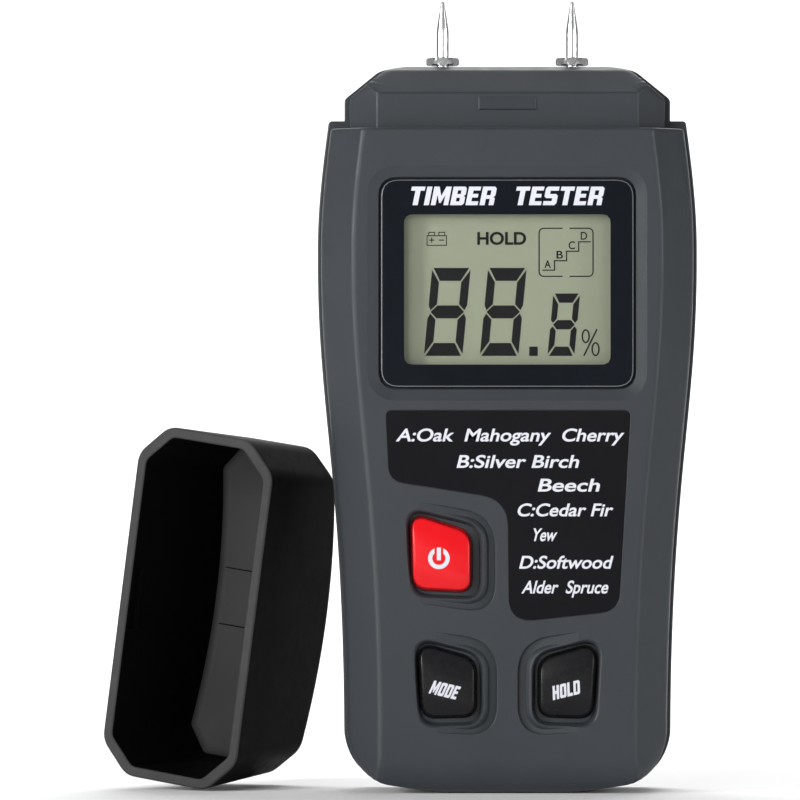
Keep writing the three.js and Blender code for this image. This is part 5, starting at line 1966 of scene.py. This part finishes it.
@dataclass(frozen=True)
class ScrewKind:
    """A pan-head screw with a cross recess; its head is towards +Y."""

    name: str
    radius: float
    head_radius: float
    head: float
    tip: float
    seat: float
    pitch: float
    places: tuple[tuple[float, float], ...]

    def profile(self) -> list[tuple[float, float]]:
        """Points of [radius, y] from the tip to the top of the head."""
        path = [(self.radius * 0.3, self.tip)]
        low, high = self.tip + self.radius, self.seat - 0.3
        count = int((high - low) / self.pitch)
        for ridge in range(count):
            y = low + ridge * self.pitch
            path += [(self.radius * 0.8, y), (self.radius * 0.8, y + 0.2 * self.pitch)]
            path += [(self.radius, y + 0.5 * self.pitch), (self.radius, y + 0.6 * self.pitch)]
        path += [(self.radius * 0.85, high), (self.radius * 0.85, self.seat),
                 (self.head_radius - 0.12, self.seat)]
        path += [(self.head_radius, self.seat + 0.12), (self.head_radius, self.seat + 0.55 * self.head)]
        rise = 0.45 * self.head
        path += [(self.head_radius * (1 - 0.25 * t * t),
                  self.seat + 0.55 * self.head + rise * math.sin(t * 1.57))
                 for t in (0.3, 0.6, 0.85, 1.0)]
        return path

    def model(self) -> bpy.types.Object:
        """One screw on the origin's y axis.

        Returns:
            The object, used up by the repeater.
        """
        turn = np.linspace(0, 2 * math.pi, 40, endpoint=False)
        rings = [np.column_stack([r * np.cos(turn), np.full(40, y), r * np.sin(turn)])
                 for r, y in self.profile()]
        screw = loft("screw", rings)
        top, arm, blade = self.seat + self.head, self.head_radius * 0.62, self.head_radius * 0.15
        deep = top - self.head * 0.55
        first = self.recess(arm, blade, deep, top)
        second = self.recess(blade, arm, deep, top)
        return combine(screw, [first, second])

    @staticmethod
    def recess(wide: float, high: float, deep: float, top: float) -> bpy.types.Object:
        """One tapering blade of the cross recess."""
        rings = []
        for share, y in ((0.72, deep), (1.0, top), (1.1, top + 0.5)):
            w, h = wide * share, high * share
            rings.append(np.array([(-w, y, -h), (w, y, -h), (w, y, h), (-w, y, h)]))
        return loft("recess", rings)


@dataclass
class Screws:
    """The four case screws and the four board screws."""

    kinds: tuple[ScrewKind, ...] = (
        ScrewKind("case_screw", 1.3, 2.5, 1.7, -10.2, 7.3, 0.75,
                  ((-24, 113), (24, 113), (-20.5, 9.6), (20.5, 9.6))),
        ScrewKind("board_screw", 0.9, 1.9, 1.1, -10.2, -3.7, 0.55,
                  ((-21.8, 64.5), (21.8, 64.5), (-21.8, 30), (21.8, 30))),
    )

    def build(self) -> None:
        """Repeat one screw of each kind at its places."""
        form = repeater()
        for kind in self.kinds:
            model = kind.model()
            base = points_mesh((x, 0, z) for x, z in kind.places)
            made = form.make(f"{kind.name}s", base, Piece=model, Finish=ZINC.material())
            bpy.data.objects.remove(model)
            dressed(made, ZINC, Body.METER, [f"{kind.name}_{i}" for i in (1, 2, 3, 4)], 24)


# ------------------------------------------------------------------ batteries
@dataclass
class BatteryBay:
    """Battery cover, three cells, their springs and contacts."""

    half: float = 18.8
    low: float = 18.2
    high: float = 73.4
    inner: float = 12.3
    back: float = 14.0
    corner: float = 1.0
    groove_pitch: float = 2.4
    grooves: int = 5
    cell_y: float = 6.65
    cell_radius: float = 5.15
    cell_body: float = 43.4
    cell_length: float = 44.5
    nub: float = 1.9

    def build(self) -> None:
        """Make the cover and what lies under it."""
        dressed(self.cover(), SLATE, Body.COVER, ["battery_door"], 26)
        for index, (x, bottom, up) in enumerate(((-11.2, 26.1, True), (0.0, 21.0, False),
                                                 (11.2, 26.1, True)), 1):
            dressed(self.cell(index, x, bottom, up), WRAP, Body.METER, [f"cell_{index}"], 34,
                    keep_materials=True)
        self.springs()
        for node in ("contact_negative", "contact_positive", "contact_bridge_low", "contact_bridge_high"):
            refined(node, ZINC, Body.METER, 0.1)

    def cover(self) -> bpy.types.Object:
        """The battery cover with its grip, hinge tabs and latch tongue.

        Returns:
            The object.
        """
        turn = np.radians(np.linspace(0, 90, 5))
        edge = 0.3
        profile = [(-0.1, self.inner), (0, self.inner + 0.1)]
        profile += [(-edge * (1 - math.cos(t)), self.back - edge * (1 - math.sin(t))) for t in turn]
        outline = evened(rounded_box(self.half, self.low, self.high, self.corner), 140)
        door = cutter(outline, profile)
        door.name = "battery_cover_panel"
        bottom, top = 20.0, 71.6
        parts = [block("tab", (x - 2.5, self.inner - 1.4, bottom + 0.5),
                       (x + 2.5, self.inner + 0.5, bottom + 1.7), 0.2)
                 for x in (-13.0, 13.0)]
        parts.append(block("tongue", (-5, self.inner - 1.5, top - 1.6), (5, self.inner + 0.5, top - 0.3),
                           0.3))
        combine(door, parts, "UNION")
        groove = self.groove()
        rows = [(0, self.back, self.high - 6 - i * self.groove_pitch) for i in range(self.grooves)]
        cuts = repeater().make("grip_grooves", points_mesh(rows), Piece=groove, Finish=SLATE.material())
        bpy.data.objects.remove(groove)
        return combine(door, [cuts])

    def groove(self) -> bpy.types.Object:
        """One shallow rounded groove along x, centred on the origin."""
        rings = []
        for x, size in ((-7.0, 0.25), (-6.9, 0.4), (-6.6, 0.5), (6.6, 0.5), (6.9, 0.4), (7.0, 0.25)):
            turn = np.radians(np.linspace(0, 360, 24, endpoint=False))
            rings.append(np.column_stack([np.full(24, x), size * np.sin(turn), size * np.cos(turn)]))
        return loft("groove", rings)

    def cell(self, index: int, x: float, bottom: float, up: bool) -> bpy.types.Object:
        """A wrapped cell with a crimped jacket, end plates and a contact nub.

        Args:
            index: Which cell, from the left.
            x: Place of its axis.
            bottom: Its lowest point.
            up: True when the nub is at the top.

        Returns:
            The object with two materials.
        """
        r, body, tall, nub = self.cell_radius, self.cell_body, self.cell_length, self.nub
        path = [(3.9, 0.0), (4.1, 0.12), (4.25, 0.12), (4.4, 0.02), (r - 0.3, 0.05), (r - 0.06, 0.22),
                (r, 0.5)]
        path += [(r, body - 0.5), (r - 0.06, body - 0.22), (r - 0.3, body - 0.05), (4.4, body - 0.02)]
        path += [(4.25, body - 0.14), (3.2, body - 0.14), (3.0, body - 0.05), (nub + 0.15, body - 0.05)]
        path += [(nub, body + 0.12), (nub, tall - 0.2), (nub - 0.2, tall)]
        placed = [(q, bottom + z) for q, z in path]
        if not up:
            placed = [(q, bottom + tall - z) for q, z in reversed(path)]
        shape = bmesh.new()
        add_loft(shape, round_profile(placed, 72, x, self.cell_y))
        axis = Vector((x * MM, self.cell_y * MM))
        for face in shape.faces:
            middle = face.calc_center_median()
            face.material_index = 0 if (middle.xy - axis).length > 4.3 * MM else 1
        made = from_bmesh(f"cell_{index}_wrapped", shape)
        made.data.materials.append(WRAP.material())
        made.data.materials.append(NICKEL.material())
        return made

    def springs(self) -> None:
        """Wind the three contact springs."""
        form = coil()
        wire, tall, wide, narrow = 0.32, 4.2, 3.0, 1.95
        for index, (x, bottom, up) in enumerate(((-11.2, 21.0, True), (0.0, 66.4, False),
                                                 (11.2, 21.0, True)), 1):
            low, high = (wide, narrow) if up else (narrow, wide)
            made = form.make(
                f"battery_spring_{index}_wound", points_mesh([(0, 0, 0)]), Turns=3.5, Lower_Radius=low * MM,
                Upper_Radius=high * MM, Height=(tall - 2 * wire) * MM, Wire=wire * MM,
                Place=(x * MM, self.cell_y * MM, (bottom + wire) * MM), Finish=ZINC.material(),
            )
            dressed(made, ZINC, Body.METER, [f"battery_spring_{index}"], 40)


# ------------------------------------------------------------------ inside
@dataclass
class Inside:
    """Display glass, circuit board and what is soldered to it, with softened edges."""

    pieces: tuple[tuple[str, Finish, float], ...] = (
        ("lcd_glass", LCD_GREEN, 0.12), ("lcd_frame", IVORY, 0.2), ("lcd_connector", ZEBRA, 0.15),
        ("main_board", MASK_GREEN, 0.12), ("controller_chip", EPOXY, 0.12), ("supply_capacitor", EPOXY, 0.15),
        ("power_switch", EPOXY, 0.12), ("mode_switch", EPOXY, 0.12), ("hold_switch", EPOXY, 0.12),
    )

    def build(self) -> None:
        """Make every piece."""
        for node, finish, edge in self.pieces:
            refined(node, finish, Body.METER, edge)


# ------------------------------------------------------------------ protective cap
@dataclass
class ProtectiveCap:
    """The cap, drawn with its mouth at z = 0 and its domed end upwards, then set in its place."""

    half: float = 31.72
    depth: float = 13.92
    corner: float = 5.6
    inner_half: float = 29.82
    inner_depth: float = 12.02
    inner_corner: float = 4.8
    length: float = 33.2
    end: float = 2.7
    taper: float = 1.7
    crown: float = 5.4
    outer_edge: float = 2.4
    inner_edge: float = 1.3
    rim_edge: float = 0.4
    painted_light_rim_rings: int = 4
    painted_light_floor_start: int = 1
    outer_round: float = 1.8
    inner_round: float = 0.8
    points_around: int = 280
    catch_half: float = 5.65
    catch_low: float = 1.1
    catch_high: float = 3.6
    seam_places: tuple[float, float] = (5.4, -5.0)
    seam_half: float = 0.09
    seam_reach: float = 10.6
    seam_low: float = 30.12
    seam_high: float = 31.2
    place: tuple[float, float, float] = (-57.4, -2.0, 32.7)
    turn: float = -27.0
    lean: float = 8.2

    def build(self) -> None:
        """Make the cap and join it to its own body."""
        parts = [self.dome(False)[::-1], self.wall(False)[::-1], self.wall(True), self.dome(True)]
        rings = [ring for part in parts for ring in part]
        mouth = sum(len(part) for part in parts[:2])
        floor = len(parts[0]) - self.painted_light_floor_start
        shape = bmesh.new()
        faces = add_loft(shape, rings)
        around = len(rings[0])
        finishes = (CAP_BLACK, CAP_INSIDE_PAINTED_LIGHT, CAP_RIM_PAINTED_LIGHT)
        for number, face in enumerate(faces):
            ring = number // around
            # Rings round the mouth take the lighter rim copy of the plastic: a painted rim highlight.
            if mouth - self.painted_light_rim_rings <= ring < mouth + self.painted_light_rim_rings:
                face.material_index = finishes.index(CAP_RIM_PAINTED_LIGHT)
            # The inner floor of the domed end takes the lighter inside copy of the plastic: painted light.
            elif ring < floor or number == len(faces) - 2:
                face.material_index = finishes.index(CAP_INSIDE_PAINTED_LIGHT)
        cap = from_bmesh("cap_shell", shape)
        for finish in finishes:
            cap.data.materials.append(finish.material())
        groove = block("groove", (-self.catch_half, -self.inner_depth - 0.5, self.catch_low),
                       (self.catch_half, -self.inner_depth + 2, self.catch_high), 0.15)
        bars = [block("bar", (x - self.seam_half, -self.seam_reach, self.seam_low),
                      (x + self.seam_half, self.seam_reach, self.seam_high)) for x in self.seam_places]
        combine(cap, [groove])
        combine(cap, bars, "UNION")
        basis = Matrix(((0, 1, 0, 0), (0, 0, 1, 0), (1, 0, 0, 0), (0, 0, 0, 1)))
        turn = Matrix.Rotation(math.radians(self.turn), 4, "Z")
        turn = turn @ Matrix.Rotation(math.radians(self.lean), 4, "Y")
        cap.data.transform(Matrix.Translation(Vector(self.place) * MM) @ turn @ basis)
        dressed(cap, CAP_BLACK, Body.CAP, ["protective_cap"], 30, keep_materials=True)

    def section(self, outer: bool) -> Loop:
        """The outline at the mouth, with softly rounded corner cuts.

        Args:
            outer: True for the outside, False for the hollow.

        Returns:
            The outline in the cap's own x and y.
        """
        w, d, c = self.inner_half, self.inner_depth, self.inner_corner
        if outer:
            w, d, c = self.half, self.depth, self.corner
        r = self.outer_round if outer else self.inner_round
        corners = [(w, -d + c, r), (w, d - c, r), (w - c, d, r), (c - w, d, r), (-w, d - c, r),
                   (-w, c - d, r),
                   (c - w, -d, r), (w - c, -d, r)]
        return evened(rounded(corners, 8), self.points_around)

    def scaled(self, outer: bool, share: float) -> Loop:
        """The outline drawn in by the taper at a share of the length."""
        loop = self.section(outer)
        w, d = (self.half, self.depth) if outer else (self.inner_half, self.inner_depth)
        reach = self.taper * share * (1.0 if outer else (self.length - self.end) / self.length)
        return loop * ((w - reach) / w, (d - reach) / d)

    def roof(self, outer: bool, loop: Loop) -> np.ndarray:
        """Height of the domed end over some points.

        Args:
            outer: True for the outside.
            loop: Points in x and y.

        Returns:
            The heights.
        """
        long = self.length if outer else self.length - self.end
        crown = self.crown * (1.0 if outer else 0.9)
        w, d = (self.half, self.depth) if outer else (self.inner_half, self.inner_depth)
        across, along = loop[:, 0] / (w - self.taper), loop[:, 1] / (d - self.taper)
        return long - crown * across**2 - (1.0 if outer else 0.12) * along**2

    def wall(self, outer: bool) -> list[Loop]:
        """Rings of the wall from the mouth to the fillet under the end.

        Args:
            outer: True for the outside.

        Returns:
            The rings.
        """
        sign = -1.0 if outer else 1.0
        rings = []
        for t in np.radians(np.linspace(0, 90, 6)):
            loop = offset(self.section(outer), sign * self.rim_edge * (1 - math.sin(t)))
            rings.append(np.column_stack([loop, np.full(len(loop), self.rim_edge * (1 - math.cos(t)))]))
        edge = self.outer_edge if outer else self.inner_edge
        for share in np.linspace(0.06, 1.0, 16):
            loop = self.scaled(outer, share)
            top = self.roof(outer, loop) - edge
            height = self.rim_edge + (top - self.rim_edge) * share
            rings.append(np.column_stack([loop, height]))
        return rings

    def dome(self, outer: bool) -> list[Loop]:
        """Rings of the fillet and the domed end.

        Args:
            outer: True for the outside.

        Returns:
            The rings.
        """
        edge = self.outer_edge if outer else self.inner_edge
        base = self.scaled(outer, 1.0)
        rings = []
        for t in np.radians(np.linspace(10, 90, 9)):
            loop = offset(base, -edge * (1 - math.cos(t)))
            rings.append(np.column_stack([loop, self.roof(outer, loop) - edge * (1 - math.sin(t))]))
        inner = offset(base, -edge)
        for share in np.linspace(0.95, 0.02, 22):
            loop = inner * share
            rings.append(np.column_stack([loop, self.roof(outer, loop)]))
        return rings


def dress_frame() -> None:
    """Give every CAD node that still shows its own finish."""
    slots = {row["node"]: row["material_slot"] for row in frame["record"]["subparts"]}
    for name, node in frame["nodes"].items():
        if not node.hide_render:
            material = BY_SLOT[slots[name]].material()
            node.data.materials.clear()
            node.data.materials.append(material)
            log.info("%-22s keeps its mesh, %s", name, material.name)


ASSEMBLIES = (CaseShells, Display, WoodSticker, Keys, Electrodes, Screws, BatteryBay, Inside, ProtectiveCap)


# ------------------------------------------------------------------ studio
@dataclass(frozen=True)
class SoftLamp:
    """One soft lamp: its place, the point that it faces, its width and height, and its watts."""

    name: str
    place: tuple[float, float, float]
    aim: tuple[float, float, float]
    size: tuple[float, float]
    power: float


@dataclass
class Studio:
    """Pale seamless floor, soft lamps and the camera."""

    target: tuple[float, float, float] = (-0.01925, 0.0, 0.07)
    distance: float = 1.4
    view_width: float = 0.1435
    sensor: float = 36.0
    floor_colour: tuple[float, float, float] = (0.93, 0.93, 0.935)
    sky: float = 0.15
    camera_range: float = 20.0
    floor_reach: float = 4.0
    floor_strips: int = 9
    sweep: tuple[float, float, float] = (2.2, 3.6, 1.2)
    lamps: tuple[SoftLamp, ...] = (
        SoftLamp("key_panel", (-0.5, -1.15, 0.26), (0.0, 0.0, 0.08), (0.55, 0.55), 5.7),
        SoftLamp("fill_panel", (0.6, -1.0, 0.22), (0.0, 0.0, 0.08), (0.4, 0.5), 1.6),
        SoftLamp("left_panel", (-0.95, -0.62, 0.3), (-0.05, 0.0, 0.1), (0.22, 0.45), 11.0),
        SoftLamp("right_strip", (0.85, -0.4, 0.15), (0.0, 0.0, 0.07), (0.16, 0.5), 4.0),
        SoftLamp("top_panel", (0.0, 0.55, 0.8), (0.0, 0.35, 0.0), (0.8, 0.6), 5.8),
        SoftLamp("backdrop_wash", (0.0, 0.9, 1.7), (0.0, 2.4, 0.6), (2.0, 0.6), 40.0),
    )

    def build(self) -> None:
        """Make the floor, the lamps, the sky and the camera."""
        self.floor()
        for lamp in self.lamps:
            self.hang(lamp)
        self.world()
        self.camera()

    def floor(self) -> None:
        """A seamless sweep: level under the meter, then curving up behind it."""
        back, height, bend = self.sweep
        path = filleted([(-self.floor_reach, 0.0), (back, 0.0), (back, height)], (bend,), 24)
        shape = bmesh.new()
        rows = [[shape.verts.new((x, y, z)) for y, z in path]
                for x in np.linspace(-self.floor_reach, self.floor_reach, self.floor_strips)]
        for left, right in zip(rows, rows[1:]):
            for i in range(len(path) - 1):
                shape.faces.new((left[i], right[i], right[i + 1], left[i + 1]))
        mesh = bpy.data.meshes.new("studio_floor")
        for face in shape.faces:
            face.smooth = True
        shape.to_mesh(mesh)
        shape.free()
        finish = Finish("studio_paper", "", self.floor_colour, 0.75, 0.05, 0.01, 2.0, 300.0, 0.02,
                        specular=0.15)
        mesh.materials.append(finish.material())
        finished_object("studio_floor", mesh)

    @staticmethod
    def hang(lamp: SoftLamp) -> None:
        """Hang one soft lamp.

        Args:
            lamp: The lamp.
        """
        data = bpy.data.lights.new(lamp.name, "AREA")
        data.shape, data.size, data.size_y, data.energy = "RECTANGLE", *lamp.size, lamp.power
        hung = bpy.data.objects.new(lamp.name, data)
        bpy.context.scene.collection.objects.link(hung)
        hung.location = lamp.place
        hung.rotation_euler = (Vector(lamp.aim) - Vector(lamp.place)).to_track_quat("-Z", "Y").to_euler()

    def world(self) -> None:
        """An even white sky."""
        world = bpy.data.worlds.new("studio_sky")
        world.use_nodes = True
        world.node_tree.nodes["Background"].inputs["Color"].default_value = (1, 1, 1, 1)
        world.node_tree.nodes["Background"].inputs["Strength"].default_value = self.sky
        bpy.context.scene.world = world

    def camera(self) -> None:
        """A level camera in front of the display."""
        data = bpy.data.cameras.new("camera")
        data.sensor_width = self.sensor
        data.lens = self.sensor * self.distance / self.view_width
        data.clip_end = self.camera_range
        camera = bpy.data.objects.new("camera", data)
        bpy.context.scene.collection.objects.link(camera)
        x, y, z = self.target
        data.shift_x = x / self.view_width
        camera.location = (0.0, y - self.distance, z)
        camera.rotation_euler = (math.pi / 2, 0, 0)
        bpy.context.scene.camera = camera
        bpy.context.scene.view_settings.view_transform = "Standard"


def main() -> None:
    """Build every sub-assembly in turn."""
    logging.basicConfig(level=logging.INFO, format="%(message)s")
    Studio().build()
    for assembly in ASSEMBLIES:
        log.info("building %s", assembly.__name__)
        assembly().build()
    dress_frame()


if __name__ == "__main__":
    main()
